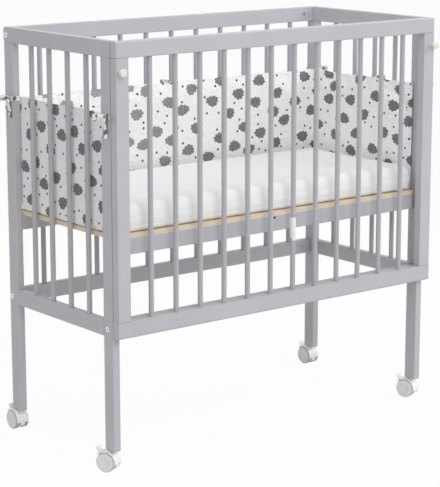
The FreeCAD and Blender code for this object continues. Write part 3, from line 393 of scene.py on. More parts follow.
@dataclass(frozen=True)
class RibbedJersey(Finish):
    """A white knitted mattress cover: soft, matt, with fine ribs along the mattress."""

    rib_mm: float = 7.0
    loop_mm: float = 1.6
    wander_mm: float = 60.0

    def shade(self, node: AddNode) -> dict:
        """Builds the ribs, a little bent, the knit between them, and painted furrow shade."""
        place = node("TexCoord", output="Object")
        parts = node("SeparateXYZ", [place]).node.outputs
        wander = node("TexNoise", {"Vector": place, "Scale": per_mm(self.wander_mm)})
        girth = node("Math", [parts["Y"], parts["Z"]], operation="ADD")
        bent = node("Math", [wander, 2.5 * MM, girth], operation="MULTIPLY_ADD")
        phase = node("Math", [bent, 2 * math.pi * per_mm(self.rib_mm)], operation="MULTIPLY")
        rib = node("Math", [phase], operation="SINE")
        knit = node("TexNoise", {"Vector": stretched(node, Axis.X, 2.5), "Detail": 2.0,
                                 "Scale": per_mm(self.loop_mm)})
        height = node("Math", [rib, 0.5, knit], operation="MULTIPLY_ADD")
        # painted shade and light: the cover is a touch darker in the rib furrows and lighter on the
        # crests
        furrow_shade = node("Math", [rib, 0.5, 0.5], operation="MULTIPLY_ADD")
        return {"Base Color": node("ValToRGB", [furrow_shade], stops=(
                    (0.0, "EDEDED"), (0.4, self.colour), (1.0, "F4F4F4"))),
                "Roughness": self.roughness, "Sheen Weight": 0.25, "Sheen Roughness": 0.6,
                "Normal": node("Bump", {"Height": height, "Strength": 0.22, "Distance": 0.3 * MM})}


@dataclass(frozen=True)
class PrintedCotton(Finish):
    """Plain-woven white cotton with a small grey screen print of puffs and dots.

    The map is in metres over the flat cloth, so the print keeps its real size round the corners.
    To the eye the cloth is matt and a little uneven over its wadding, and the ink is flat and
    mottled, fainter in some lengths of the cloth than in others. The threads are drawn about
    twice as coarse as real ones, so that they show close up.
    """

    length: float = 1.64
    inks: tuple[tuple[float, str], ...] = ((0.0, "4E4E4E"), (0.21, "4E4E4E"), (0.27, "959595"),
                                           (0.42, "888888"), (0.58, "626262"), (0.80, "525252"))
    dot_colour: str = "444446"
    puff_pitch_mm: float = 62.7
    puff_half_mm: float = 19.6
    puff_squash: float = 0.74
    puff_lobes: float = 4.5
    lobe_depth: float = 0.18
    puff_sway: float = 0.08
    dot_pitch_mm: float = 31.5
    dot_half_mm: float = 3.1
    dot_clear_mm: float = 4.0
    edge_mm: float = 0.3
    mottle_mm: float = 4.0
    crumple_mm: float = 8.0
    thread_mm: float = 0.9

    def motif(self, node: AddNode, uv: Socket, pitch_mm: float, turn: float,
              jitter: float) -> tuple[Socket, Socket, Socket]:
        """Scatters points on the cloth and gives each place's arm from its nearest point.

        Args:
            node: Adds a node to the material's tree.
            uv: The place on the cloth's map, in metres.
            pitch_mm: Spacing of the points.
            turn: Angle by which the rows are turned.
            jitter: How far points stray from their rows, from 0 to 1.

        Returns:
            The arm in millimetres, the point itself on the map, and its random colour.
        """
        turned = node("VectorRotate", {"Vector": uv, "Angle": turn}, rotation_type="Z_AXIS")
        cells = node("TexVoronoi", {"Vector": turned, "Scale": per_mm(pitch_mm),
                                    "Randomness": jitter}, voronoi_dimensions="2D").node.outputs
        point = node("VectorRotate", {"Vector": cells["Position"], "Angle": -turn},
                     rotation_type="Z_AXIS")
        arm = node("VectorMath", [uv, point], operation="SUBTRACT")
        return (node("VectorMath", {0: arm, "Scale": 1 / MM}, operation="SCALE"), point,
                cells["Color"])

    def puff_place(self, node: AddNode, uv: Socket) -> tuple[Socket, Socket, Socket, Socket]:
        """Measures a place of the cloth from the middle of its nearest puff.

        Args:
            node: Adds a node to the material's tree.
            uv: The place on the cloth's map, in metres.

        Returns:
            Distance in millimetres of its long way, angle, and two random values of the puff.
        """
        arm, _, colour = self.motif(node, uv, self.puff_pitch_mm, 0.52, 0.36)
        chance = node("SeparateColor", [colour]).node.outputs
        tilt = node("Math", [chance["Red"], 0.6, -0.3], operation="MULTIPLY_ADD")
        leaning = node("VectorRotate", {"Vector": arm, "Angle": tilt}, rotation_type="Z_AXIS")
        parts = node("SeparateXYZ", [leaning]).node.outputs
        tall = node("Math", [parts["Y"], self.puff_squash], operation="DIVIDE")
        squares = [node("Math", [side, 2.0], operation="POWER") for side in (parts["X"], tall)]
        reach = node("Math", [node("Math", squares, operation="ADD")], operation="SQRT")
        return (reach, node("Math", [tall, parts["X"]], operation="ARCTAN2"), chance["Green"],
                chance["Blue"])

    def puffs(self, node: AddNode, uv: Socket) -> Socket:
        """Draws the puffs, flat ovals with uneven lobed edges, and gives the mask inside them."""
        reach, angle, first, second = self.puff_place(node, uv)
        waves = []
        for share, count in ((first, self.puff_lobes), (second, 3.0)):
            turn = node("Math", [angle, count], operation="MULTIPLY")
            phase = node("Math", [share, 2 * math.pi, turn], operation="MULTIPLY_ADD")
            waves.append(node("Math", [phase], operation="SINE"))
        lobes = node("Math", [waves[0]], operation="ABSOLUTE")
        edge = node("Math", [lobes, self.lobe_depth * self.puff_half_mm,
                             self.puff_half_mm * (1 - self.lobe_depth)], operation="MULTIPLY_ADD")
        sway = node("Math", [waves[1], self.puff_sway, 1.0], operation="MULTIPLY_ADD")
        uneven = node("Math", [edge, sway], operation="MULTIPLY")
        depth = node("Math", [uneven, reach], operation="SUBTRACT")
        return node("MapRange", {"Value": depth, "From Min": -self.edge_mm,
                                 "From Max": self.edge_mm})

    def dots(self, node: AddNode, uv: Socket) -> Socket:
        """Draws the dots, whole or left out by where their middles lie, and gives their mask."""
        arm, point, _ = self.motif(node, uv, self.dot_pitch_mm, 0.3, 0.62)
        away = node("VectorMath", [arm], "Value", operation="LENGTH")
        spot = node("MapRange", {"Value": away, "From Min": self.dot_half_mm + self.edge_mm,
                                 "From Max": self.dot_half_mm - self.edge_mm})
        clear = node("Math", [self.puff_place(node, point)[0],
                              self.puff_half_mm + self.dot_half_mm + self.dot_clear_mm],
                     operation="GREATER_THAN")
        return node("Math", [spot, clear], operation="MULTIPLY")

    def shade(self, node: AddNode) -> dict:
        """Builds the print over the weave."""
        uv = node("TexCoord", output="UV")
        along = node("Math", [node("SeparateXYZ", [uv], "X"), self.length], operation="DIVIDE")
        ink = node("ValToRGB", [along], stops=self.inks)
        mottle = node("TexNoise", {"Vector": uv, "Scale": per_mm(self.mottle_mm), "Detail": 3.0})
        cover = node("MapRange", {"Value": mottle, "From Min": 0.3, "From Max": 0.7,
                                  "To Min": 0.84, "To Max": 1.0})
        puffs = node("Math", [self.puffs(node, uv), cover], operation="MULTIPLY")
        cloth = node("Mix", {0: puffs, 6: linear(self.colour), 7: ink}, 2, data_type="RGBA")
        printed = node("Mix", {0: self.dots(node, uv), 6: cloth, 7: linear(self.dot_colour)}, 2,
                       data_type="RGBA")
        threads = [node("TexWave", {"Vector": uv, "Scale": wave_scale(self.thread_mm),
                                    "Distortion": 0.4}, "Fac", bands_direction=way)
                   for way in "XY"]
        weave = node("Bump", {"Height": node("Math", threads, operation="MULTIPLY"),
                              "Strength": 0.25, "Distance": 0.2 * MM})
        crumple = node("TexNoise", {"Vector": uv, "Scale": per_mm(self.crumple_mm),
                                    "Detail": 3.0})
        return {"Base Color": printed, "Roughness": self.roughness, "Sheen Weight": 0.5,
                "Sheen Roughness": 0.5,
                "Normal": node("Bump", {"Height": crumple, "Strength": 1.0,
                                        "Distance": 4.0 * MM, "Normal": weave})}


@dataclass(frozen=True)
class CottonTape(Finish):
    """Narrow woven cotton: matt, with a fine twill across it."""

    twill_mm: float = 1.1
    slub_mm: float = 4.0

    def shade(self, node: AddNode) -> dict:
        """Builds the twill lines on Object coordinates."""
        place = node("TexCoord", output="Object")
        twill = node("TexWave", {"Vector": place, "Scale": wave_scale(self.twill_mm),
                                 "Distortion": 0.5}, "Fac", bands_direction="DIAGONAL")
        slub = node("TexNoise", {"Vector": place, "Scale": per_mm(self.slub_mm)})
        return {"Base Color": node("ValToRGB", [slub], stops=((0.3, "EAEAEA"),
                                                              (0.6, self.colour))),
                "Roughness": self.roughness, "Sheen Weight": 0.2, "Sheen Roughness": 0.5,
                "Normal": node("Bump", {"Height": twill, "Strength": 0.3, "Distance": 0.15 * MM})}


@dataclass(frozen=True)
class PrintedTape(CottonTape):
    """Tape cut from the printed cloth: pieces of grey puffs show here and there along it."""

    ink: str = "6A6A6C"
    patch_mm: float = 11.0
    patch_from: float = 0.62

    def shade(self, node: AddNode) -> dict:
        """Adds crisp grey patches to the tape."""
        tape = super().shade(node)
        patch = node("TexNoise", {"Vector": node("TexCoord", output="Object"), "Detail": 0.0,
                                  "Scale": per_mm(self.patch_mm)})
        inside = node("MapRange", {"Value": patch, "From Min": self.patch_from - 0.01,
                                   "From Max": self.patch_from + 0.01})
        return {**tape, "Base Color": node("Mix", {
            0: inside, 6: tape["Base Color"], 7: linear(self.ink)}, 2, data_type="RGBA")}


@dataclass(frozen=True)
class StudioFloor(Finish):
    """Seamless paper: the eye sees it white, and it keeps a faint shadow of the crib."""

    keep_white: float = 0.95
    fibre_mm: float = 3.0

    def surface(self, node: AddNode) -> Socket:
        """Mixes plain paper with white for the camera and for mirror reflections."""
        fibre = node("TexNoise", {"Vector": node("TexCoord", output="Object"),
                                  "Scale": per_mm(self.fibre_mm)})
        relief = node("Bump", {"Height": fibre, "Strength": 0.02, "Distance": 0.1 * MM})
        paper = node("BsdfDiffuse", {"Color": linear(self.colour), "Normal": relief})
        share = node("Math", [bright_rays(node), self.keep_white], operation="MULTIPLY")
        return node("MixShader", [share, paper, node("Emission", {"Strength": 1.0})])


class Palette:
    """Every material of the crib that more than one piece can share, each built once."""

    def __init__(self) -> None:
        """Builds the materials."""
        self.paint = {run: SatinPaint(f"satin_grey_paint_{run.name.lower()}", PAINT, 0.42,
                                      run=run).build() for run in Axis}
        # painted shade: the slats get a darker copy of the rails' grey paint, standing in for the
        # shade among the slats
        self.slats = SatinPaint("satin_grey_paint_slats", "B2B1B7", 0.42, run=Axis.Z,
                                deep="AEADB3", pale="B6B5BB").build()
        self.ply = BirchPly("sanded_birch_ply", "EEE0CC", 0.62,
                            bottom=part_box("bed_board")[0].z).build()
        self.beech = TurnedWood("beech_dowel", "D8BE98", 0.6).build()
        self.steel = PlatedMetal("zinc_plated_steel", "C6C7CA", 0.34).build()
        # the bolt heads carry painted shade in their hexagon sockets
        self.bright = SocketHead("nickel_plated_steel_socket_shade", "EDEDEE", 0.3).build()
        self.dark = PlatedMetal("blackened_steel", "3A3A3C", 0.45).build()
        self.brass = PlatedMetal("turned_brass", "D0AE68", 0.34).build()
        self.nylon = MouldedPlastic("white_moulded_nylon", "F9F9F9", 0.34).build()
        self.hub = MouldedPlastic("caster_hub_nylon", "E6E6E8", 0.36).build()
        self.socket = MouldedPlastic("grey_moulded_nylon", "DCDCDD", 0.45).build()
        self.jersey = RibbedJersey("ribbed_cotton_jersey", "F1F1F1", 0.9).build()
        self.cotton = PrintedCotton("printed_cotton", "FAFAFA", 0.85).build()
        self.tape = PrintedTape("printed_cotton_tape", "F8F8F8", 0.85).build()
        self.cloth = CottonTape("plain_tag_cloth", "EFEFEF", 0.8).build()
        self.thread = CottonTape("sewing_thread", "EFEFEF", 0.7).build()


# ----------------------------------------------------------------------------------------------
# Mesh helpers
# ----------------------------------------------------------------------------------------------
def new_piece(name: str, mesh: bpy.types.Mesh, material: Material | None,
              crease: float | None = None) -> bpy.types.Object:
    """Makes an object at the origin from a mesh.

    Args:
        name: Name of the piece.
        mesh: Its mesh, in the frame's axes.
        material: Its material, or None if the mesh has one already.
        crease: Angle in degrees past which edges stay sharp, or None to shade all smooth.

    Returns:
        The object, linked to the scene.
    """
    piece = bpy.data.objects.new(name, mesh)
    bpy.context.scene.collection.objects.link(piece)
    if material is not None:
        mesh.materials.clear()
        mesh.materials.append(material)
    mesh.shade_smooth()
    if crease is not None:
        mesh.set_sharp_from_angle(angle=math.radians(crease))
    return piece


def bm_mesh(name: str, fill: Callable[[bmesh.types.BMesh], None]) -> bpy.types.Mesh:
    """Builds a mesh with bmesh, merges its doubles and turns its faces outwards.

    Args:
        name: Name of the mesh.
        fill: A function that adds the geometry.

    Returns:
        The mesh.
    """
    shape = bmesh.new()
    fill(shape)
    bmesh.ops.remove_doubles(shape, verts=shape.verts, dist=1e-6)
    bmesh.ops.recalc_face_normals(shape, faces=shape.faces)
    mesh = bpy.data.meshes.new(name)
    shape.to_mesh(mesh)
    shape.free()
    return mesh


def baked(piece: bpy.types.Object) -> bpy.types.Mesh:
    """The mesh of a piece with its modifiers applied."""
    graph = bpy.context.evaluated_depsgraph_get()
    return bpy.data.meshes.new_from_object(piece.evaluated_get(graph), depsgraph=graph)


def rounded(piece: bpy.types.Object) -> None:
    """Smooths a piece by one level of subdivision and keeps the result as its mesh.

    Args:
        piece: The piece, with no modifiers.
    """
    smooth = piece.modifiers.new("smooth", "SUBSURF")
    smooth.levels = smooth.render_levels = 1
    mesh = baked(piece)
    piece.modifiers.clear()
    piece.data = mesh
    mesh.shade_smooth()


def smooth_path(points: Sequence[Vector], steps: int, closed: bool = False) -> list[Vector]:
    """Draws a Catmull-Rom line through points.

    Args:
        points: Points that the line passes through.
        steps: Number of parts between two points.
        closed: Whether the line joins up.

    Returns:
        The points of the line.
    """
    count = len(points)
    line = []
    for number in range(count if closed else count - 1):
        places = [number + shift for shift in (-1, 0, 1, 2)]
        before, start, end, after = [
            points[place % count if closed else min(max(place, 0), count - 1)] for place in places]
        for step in range(steps):
            t = step / steps
            line.append(0.5 * (2 * start + (end - before) * t
                               + (2 * before - 5 * start + 4 * end - after) * t * t
                               + (3 * start - before - 3 * end + after) * t ** 3))
    return line if closed else line + [points[-1].copy()]


def join_rings(shape: bmesh.types.BMesh, rings: Sequence[Sequence], closed: bool = False) -> None:
    """Skins rings of vertices into a solid: a tube with flat ends, or a closed loop.

    Args:
        shape: The mesh that holds the vertices.
        rings: Rings with as many vertices each.
        closed: Whether the last ring joins the first.
    """
    for number in range(len(rings) if closed else len(rings) - 1):
        first, second = rings[number], rings[(number + 1) % len(rings)]
        for side in range(len(first)):
            after = (side + 1) % len(first)
            shape.faces.new((first[side], first[after], second[after], second[side]))
    if not closed:
        shape.faces.new(rings[0][::-1])
        shape.faces.new(rings[-1])


def lathe(shape: bmesh.types.BMesh, place: Matrix, profile: Sequence[tuple[float, float]],
          sides: int) -> None:
    """Adds a closed turned solid.

    Args:
        shape: The mesh that receives it.
        place: Its place; it turns round the local Z axis.
        profile: Radius and height of each ring, from one end to the other.
        sides: Number of sides of each ring.
    """
    turns = [2 * math.pi * side / sides for side in range(sides)]
    join_rings(shape, [[shape.verts.new(place @ Vector((
        radius * math.cos(turn), radius * math.sin(turn), level))) for turn in turns]
        for radius, level in profile])


class Repeater:
    """A Geometry Nodes tree that repeats one part, run once and kept as a plain mesh."""

    def __init__(self, name: str, inputs: dict[str, tuple[str, object]]) -> None:
        """Starts the tree.

        Args:
            name: Name of the finished piece.
            inputs: Type and value of each of the tree's inputs, by name.
        """
        self.name = name
        self.inputs = inputs
        self.tree = bpy.data.node_groups.new(name, "GeometryNodeTree")
        self.tree.interface.new_socket(name="Geometry", in_out="OUTPUT",
                                       socket_type="NodeSocketGeometry")
        for label, (kind, _) in inputs.items():
            self.tree.interface.new_socket(name=label, in_out="INPUT",
                                           socket_type="NodeSocket" + kind)
        self.node = partial(add, self.tree)
        self.given = self.node("NodeGroupInput").node.outputs

    def rod(self, start: Socket, end: Socket, radius: Socket, sides: int | Socket) -> Socket:
        """Builds the repeated part: a round rod with flat ends.

        Args:
            start: Place of one end.
            end: Place of the other end.
            radius: Its radius.
            sides: Its number of sides.

        Returns:
            The rod.
        """
        line = self.node("GeometryNodeCurvePrimitiveLine", {"Start": start, "End": end})
        ring = self.node("GeometryNodeCurvePrimitiveCircle", {"Resolution": sides,
                                                              "Radius": radius})
        return self.node("GeometryNodeCurveToMesh", {"Curve": line, "Profile Curve": ring,
                                                     "Fill Caps": True})

    def finish(self, points: Socket, part: Socket, crease: float,
               rotation: Sequence[float] | Socket = (0.0, 0.0, 0.0)) -> bpy.types.Object:
        """Puts the part on the points and runs the tree.

        Args:
            points: Where the part is repeated.
            part: The part.
            crease: Angle in degrees past which edges stay sharp.
            rotation: How the part is turned on each point.

        Returns:
            The finished piece, real meshes and not instances.
        """
        rows = self.node("GeometryNodeInstanceOnPoints", {"Points": points, "Instance": part,
                                                          "Rotation": rotation})
        real = self.node("GeometryNodeRealizeInstances", [rows])
        finished = self.node("GeometryNodeSetMaterial", {"Geometry": real,
                                                         "Material": self.given["Material"]})
        self.node("NodeGroupOutput", {"Geometry": finished})
        holder = bpy.data.objects.new("maker", bpy.data.meshes.new("maker"))
        bpy.context.scene.collection.objects.link(holder)
        nodes = holder.modifiers.new("maker", "NODES")
        nodes.node_group = self.tree
        for item in self.tree.interface.items_tree:
            if item.in_out == "INPUT":
                nodes[item.identifier] = self.inputs[item.name][1]
        mesh = baked(holder)
        mesh.name = self.name
        bpy.data.objects.remove(holder)
        return new_piece(self.name, mesh, None, crease)


@dataclass
class Assembly:
    """A part of the crib that builds itself from the crib's materials."""

    palette: Palette

    def build(self) -> None:
        """Dresses the carried-over solids and builds the rest."""
        raise NotImplementedError


def joint(name: str) -> dict:
    """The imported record's joint of that name."""
    return next(entry for entry in frame["joints"] if entry["name"] == name)


def dress(node: str, material: Material, crease: float = 30.0) -> None:
    """Gives a carried-over solid its material and smooth shading over its rounded edges.

    Args:
        node: Name of the solid.
        material: Its material.
        crease: Angle in degrees past which edges stay sharp.
    """
    mesh = frame["nodes"][node].data
    mesh.materials.clear()
    mesh.materials.append(material)
    mesh.shade_smooth()
    mesh.set_sharp_from_angle(angle=math.radians(crease))


# ----------------------------------------------------------------------------------------------
# Timber frame and barrier
# ----------------------------------------------------------------------------------------------
@dataclass(frozen=True)
class SlatRow:
    """A row of turned slats between two rails, made by rule from the row's own space."""

    node: str
    body: str
    count: int
    along: Axis
    sides: int = 36

    def build(self, palette: Palette) -> bpy.types.Object:
        """Builds the row in the space of the solid that it stands for.

        Args:
            palette: The crib's materials.

        Returns:
            The row.
        """
        low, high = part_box(self.node)
        radius = (high.y - low.y) / 2 if self.along is Axis.X else (high.x - low.x) / 2
        first = Vector((low.x + radius, low.y + radius, low.z))
        last = Vector((high.x - radius, high.y - radius, low.z))
        maker = Repeater(self.node + "_row", {
            "Count": ("Int", self.count), "First": ("Vector", first),
            "Pitch": ("Vector", (last - first) / (self.count - 1)), "Radius": ("Float", radius),
            "Length": ("Float", high.z - low.z), "Sides": ("Int", self.sides),
            "Material": ("Material", palette.slats)})
        given = maker.given
        places = maker.node("GeometryNodeMeshLine", {
            "Count": given["Count"], "Start Location": given["First"], "Offset": given["Pitch"]},
            mode="OFFSET")
        top = maker.node("CombineXYZ", {"Z": given["Length"]})
        slat = maker.rod((0, 0, 0), top, given["Radius"], given["Sides"])
        row = maker.finish(places, slat, crease=40)
        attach(row, self.body)
        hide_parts(self.node)
        return row


@dataclass
class TimberFrame(Assembly):
    """End frames, back, cross rail and bed base, with their fasteners."""

    timber: dict[Axis, tuple[str, ...]] = field(default_factory=lambda: {
        Axis.X: ("back_top_rail", "back_bottom_rail", "front_cross_rail", "front_bed_rail",
                 "back_bed_rail"),
        Axis.Y: ("left_top_rail", "right_top_rail", "left_bottom_rail", "right_bottom_rail"),
        Axis.Z: ("front_left_leg", "front_right_leg", "back_left_leg", "back_right_leg")})
    rows: tuple[SlatRow, ...] = (SlatRow("back_slats", "frame", 11, Axis.X),
                                 SlatRow("left_end_slats", "frame", 4, Axis.Y),
                                 SlatRow("right_end_slats", "frame", 4, Axis.Y))
    screw_radius: float = 2.9 * MM
    screw_rise: float = 1.2 * MM
    screw_drop: float = 4.2 * MM
    screw_shape: tuple[tuple[float, float], ...] = ((1.0, -1.0), (1.0, 0.2), (0.9, 0.7),
                                                    (0.6, 0.95), (0.45, 1.0), (0.35, 0.2))
    screw_sides: int = 24

    def build(self) -> None:
        """Dresses the rails and legs and builds the slats."""
        for run, names in self.timber.items():
            for name in names:
                dress(name, self.palette.paint[run])
        for row in self.rows:
            row.build(self.palette)
        finishes = self.palette
        for name, material in (("bed_board", finishes.ply), ("frame_dowels", finishes.beech),
                               ("connector_bolts", finishes.bright),
                               ("knob_inserts", finishes.brass), ("barrel_nuts", finishes.steel),
                               ("board_screws", finishes.steel)):
            dress(name, material)
        self.rail_screw()
        log.info("timber frame dressed, %d rows of slats", len(self.rows))

    def rail_screw(self) -> None:
        """Turns the small dark screw head in the middle of the front bed rail's face."""
        low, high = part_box("front_bed_rail")
        place = (Matrix.Translation(((low.x + high.x) / 2, low.y, high.z - self.screw_drop))
                 @ Matrix.Rotation(math.pi / 2, 4, "X"))
        profile = [(across * self.screw_radius, up * self.screw_rise)
                   for across, up in self.screw_shape]
        mesh = bm_mesh("bed_rail_screw",
                       lambda shape: lathe(shape, place, profile, self.screw_sides))
        screw = new_piece("bed_rail_screw", mesh, self.palette.dark, crease=40)
        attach(screw, "frame")


@dataclass
class Barrier(Assembly):
    """The lift-off front with its twelve slats, tag and two knobs."""

    slats: SlatRow = SlatRow("barrier_slats", "barrier", 12, Axis.X)
    tag_lean: float = math.radians(5)
    tag_thickness: float = 0.55 * MM
    tag_loose: float = 1.3 * MM
    tag_pucker: float = 0.12 * MM
    tag_sides: int = 48
    tag_levels: int = 14

    def build(self) -> None:
        """Dresses the barrier and its knobs and builds its slats and tag."""
        paint, beech = self.palette.paint, self.palette.beech
        for part, material in (("top_rail", paint[Axis.X]), ("bottom_rail", paint[Axis.X]),
                               ("left_stile", paint[Axis.Z]), ("right_stile", paint[Axis.Z]),
                               ("dowels", beech), ("locating_pins", beech)):
            dress("barrier_" + part, material)
        self.slats.build(self.palette)
        for side in ("left", "right"):
            wood = TurnedKnob(f"{side}_knob_turned_wood", "F4F1EA", 0.38,
                              centre=tuple(joint(f"{side}_knob_turn")["pos_m"])).build()
            dress(f"{side}_knob", wood, crease=60)
            dress(f"{side}_knob_stud", self.palette.steel)
        self.tag()
        log.info("barrier dressed")

    def tag_spot(self, reach: float, share: float, turn: float) -> Vector:
        """Finds a point of the tag's cloth.

        Args:
            reach: Distance from the slat's axis before the cloth leans and puckers.
            share: How far up the tag, from 0 to 1.
            turn: Angle round the slat.

        Returns:
            The point.
        """
        low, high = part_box("slat_tag")
        centre = (low + high) / 2
        tip = 1 - 2 * share
        slope = math.sin(turn) * (high.x - low.x) / 2 * math.sin(self.tag_lean)
        height = low.z + share * (high.z - low.z) + slope * tip * 0.5
        if share in (0, 1):
            height += tip * abs(slope)
        pucker = abs(self.tag_pucker * math.sin(5 * turn + 9 * share))
        radius = reach - pucker + self.tag_loose * tip * math.cos(turn)
        return Vector((centre.x + radius * math.cos(turn), centre.y + radius * math.sin(turn),
                       height))

    def tag(self) -> None:
        """Wraps the blank cloth tag round its slat, leaning a little."""
        low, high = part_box("slat_tag")
        outer = (high.x - low.x) / 2
        levels = [level / self.tag_levels for level in range(self.tag_levels + 1)]
        wall = ([(outer - self.tag_thickness, share) for share in levels]
                + [(outer, share) for share in levels[::-1]])

        def fill(shape: bmesh.types.BMesh) -> None:
            """Adds the sleeve, skinned up its inside and down its outside."""
            join_rings(shape, [[shape.verts.new(self.tag_spot(
                reach, share, 2 * math.pi * side / self.tag_sides))
                for side in range(self.tag_sides)] for reach, share in wall], True)

        mesh = bm_mesh("slat_tag_cloth", fill)
        tag = new_piece("slat_tag_cloth", mesh, self.palette.cloth, crease=50)
        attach(tag, "barrier")
        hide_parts("slat_tag")


# ----------------------------------------------------------------------------------------------
# Casters
# ----------------------------------------------------------------------------------------------
@dataclass
class Casters(Assembly):
    """Four braked twin-wheel casters with capped hubs."""

    names: tuple[str, ...] = ("front_left", "front_right", "back_left", "back_right")
    cap_radius: float = 14.0 * MM
    cap_rise: float = 0.8 * MM
    cap_shape: tuple[tuple[float, float], ...] = ((1.0, 0.0), (0.99, 0.7), (0.95, 1.0),
                                                  (0.9, 0.9), (0.86, 0.45), (0.3, 0.4))
    cap_sides: int = 40
    hub_half: float = 17.1 * MM
    tread: float = 1.6 * MM

    def build(self) -> None:
        """Dresses the casters and caps their hubs."""
        nylon, steel = self.palette.nylon, self.palette.steel
        dress("caster_sockets", self.palette.socket)
        for name in self.names:
            roll = joint(f"{name}_caster_roll")
            low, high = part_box(f"{name}_caster_wheels")
            wheels = CasterTread(f"{name}_caster_wheel_nylon", "EAEAEB", 0.36,
                                 centre=tuple(roll["pos_m"]), axle=tuple(roll["axis"]),
                                 tread_from=((high.z - low.z) / 2 - self.tread) / MM).build()
            for part, material in (("wheels", wheels), ("hood", nylon), ("brake_lever", nylon),
                                   ("stem", steel), ("axle", steel)):
                dress(f"{name}_caster_{part}", material)
            self.caps(name, Vector(roll["pos_m"]), Vector(roll["axis"]))
        log.info("casters dressed")

    def caps(self, name: str, centre: Vector, axle: Vector) -> None:
        """Lathes a low rimmed cap onto the middle of each wheel face.

        Args:
            name: Which caster.
            centre: Middle of the axle.
            axle: Direction of the axle.
        """
        profile = [(across * self.cap_radius, self.hub_half + up * self.cap_rise)
                   for across, up in self.cap_shape]

        def fill(shape: bmesh.types.BMesh) -> None:
            """Adds the two caps, each facing away from the caster."""
            for way in (-1, 1):
                turn = (axle * way).to_track_quat("Z", "Y").to_matrix().to_4x4()
                lathe(shape, Matrix.Translation(centre) @ turn, profile, self.cap_sides)

        label = f"{name}_hub_caps"
        caps = new_piece(label, bm_mesh(label, fill), self.palette.hub, crease=50)
        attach(caps, f"{name}_caster_roller")


# ----------------------------------------------------------------------------------------------
# Stitching
# ----------------------------------------------------------------------------------------------
@dataclass(frozen=True)
class Stitching:
    """Rows of sewn stitches that follow a seam."""

    length: float = 3.2 * MM
    gap: float = 1.6 * MM
    radius: float = 0.32 * MM
    sides: int = 6

    def sew(self, name: str, seams: Sequence[Sequence[Vector]], body: str, slot: str,
            material: Material) -> bpy.types.Object:
        """Sews stitches along seams: one stitch, repeated at an even pitch.

        Args:
            name: Name of the piece.
            seams: Points of each seam.
            body: The body that the stitches move with.
            slot: Not used.
            material: The thread.

        Returns:
            The stitches as one piece.
        """
        curve = bpy.data.curves.new(name + "_seams", "CURVE")
        curve.dimensions = "3D"
        for seam in seams:
            spline = curve.splines.new("POLY")
            spline.points.add(len(seam) - 1)
            for point, place in zip(spline.points, seam):
                point.co = (*place, 1.0)
        line = bpy.data.objects.new(name + "_seams", curve)
        bpy.context.scene.collection.objects.link(line)
        maker = Repeater(name, {
            "Seam": ("Object", line), "Length": ("Float", self.length),
            "Pitch": ("Float", self.length + self.gap), "Radius": ("Float", self.radius),
            "Material": ("Material", material)})
        given, node = maker.given, maker.node
        spaced = node("GeometryNodeResampleCurve", {
            "Curve": node("GeometryNodeObjectInfo", {"Object": given["Seam"]}, "Geometry"),
            "Length": given["Pitch"]}, mode="LENGTH")
        half = node("Math", [given["Length"], 0.5], operation="MULTIPLY")
        start = node("CombineXYZ", {"Z": node("Math", [half, -1.0], operation="MULTIPLY")})
        stitch = maker.rod(start, node("CombineXYZ", {"Z": half}), given["Radius"], self.sides)
        turned = node("FunctionNodeAlignRotationToVector", {
            "Vector": node("GeometryNodeInputTangent")}, axis="Z")
        stitches = maker.finish(spaced, stitch, crease=80, rotation=turned)
        bpy.data.objects.remove(line)
        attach(stitches, body)
        return stitches


# ----------------------------------------------------------------------------------------------
# Mattress and bumper
# ----------------------------------------------------------------------------------------------
@dataclass(frozen=True)
class ClothRun:
    """Settings of one cloth simulation."""

    pressure: float
    frames: int
    grow: float
    bending: float = 0.5
    quality: int = 6
    stiffness: float = 15.0

    def run(self, piece: bpy.types.Object, pins: str = "") -> list[Vector]:
        """Simulates a closed piece with gravity off.

        Args:
            piece: The piece, with no modifiers.
            pins: Name of the vertex group that holds still, or nothing.

        Returns:
            The simulated place of each vertex.
        """
        cloth = piece.modifiers.new("cloth", "CLOTH")
        settings = cloth.settings
        settings.quality = self.quality
        settings.use_pressure = True
        settings.uniform_pressure_force = self.pressure
        settings.tension_stiffness = settings.compression_stiffness = self.stiffness
        settings.bending_stiffness = self.bending
        settings.shrink_min = -self.grow
        settings.effector_weights.gravity = 0.0
        settings.vertex_group_mass = pins
        cloth.collision_settings.use_collision = False
        for step in range(1, self.frames + 1):
            bpy.context.scene.frame_set(step)
        mesh = baked(piece)
        places = [vertex.co.copy() for vertex in mesh.vertices]
        bpy.data.meshes.remove(mesh)
        piece.modifiers.remove(cloth)
        bpy.context.scene.frame_set(1)
        return places


def ease(value: float, low: float, high: float) -> float:
    """A smooth step from 0 at low to 1 at high."""
    share = min(max((value - low) / (high - low), 0.0), 1.0)
    return share * share * (3 - 2 * share)


def capped(move: Vector, limit: float) -> Vector:
    """A move, made no longer than a limit."""
    return move * (limit / move.length) if move.length > limit else move


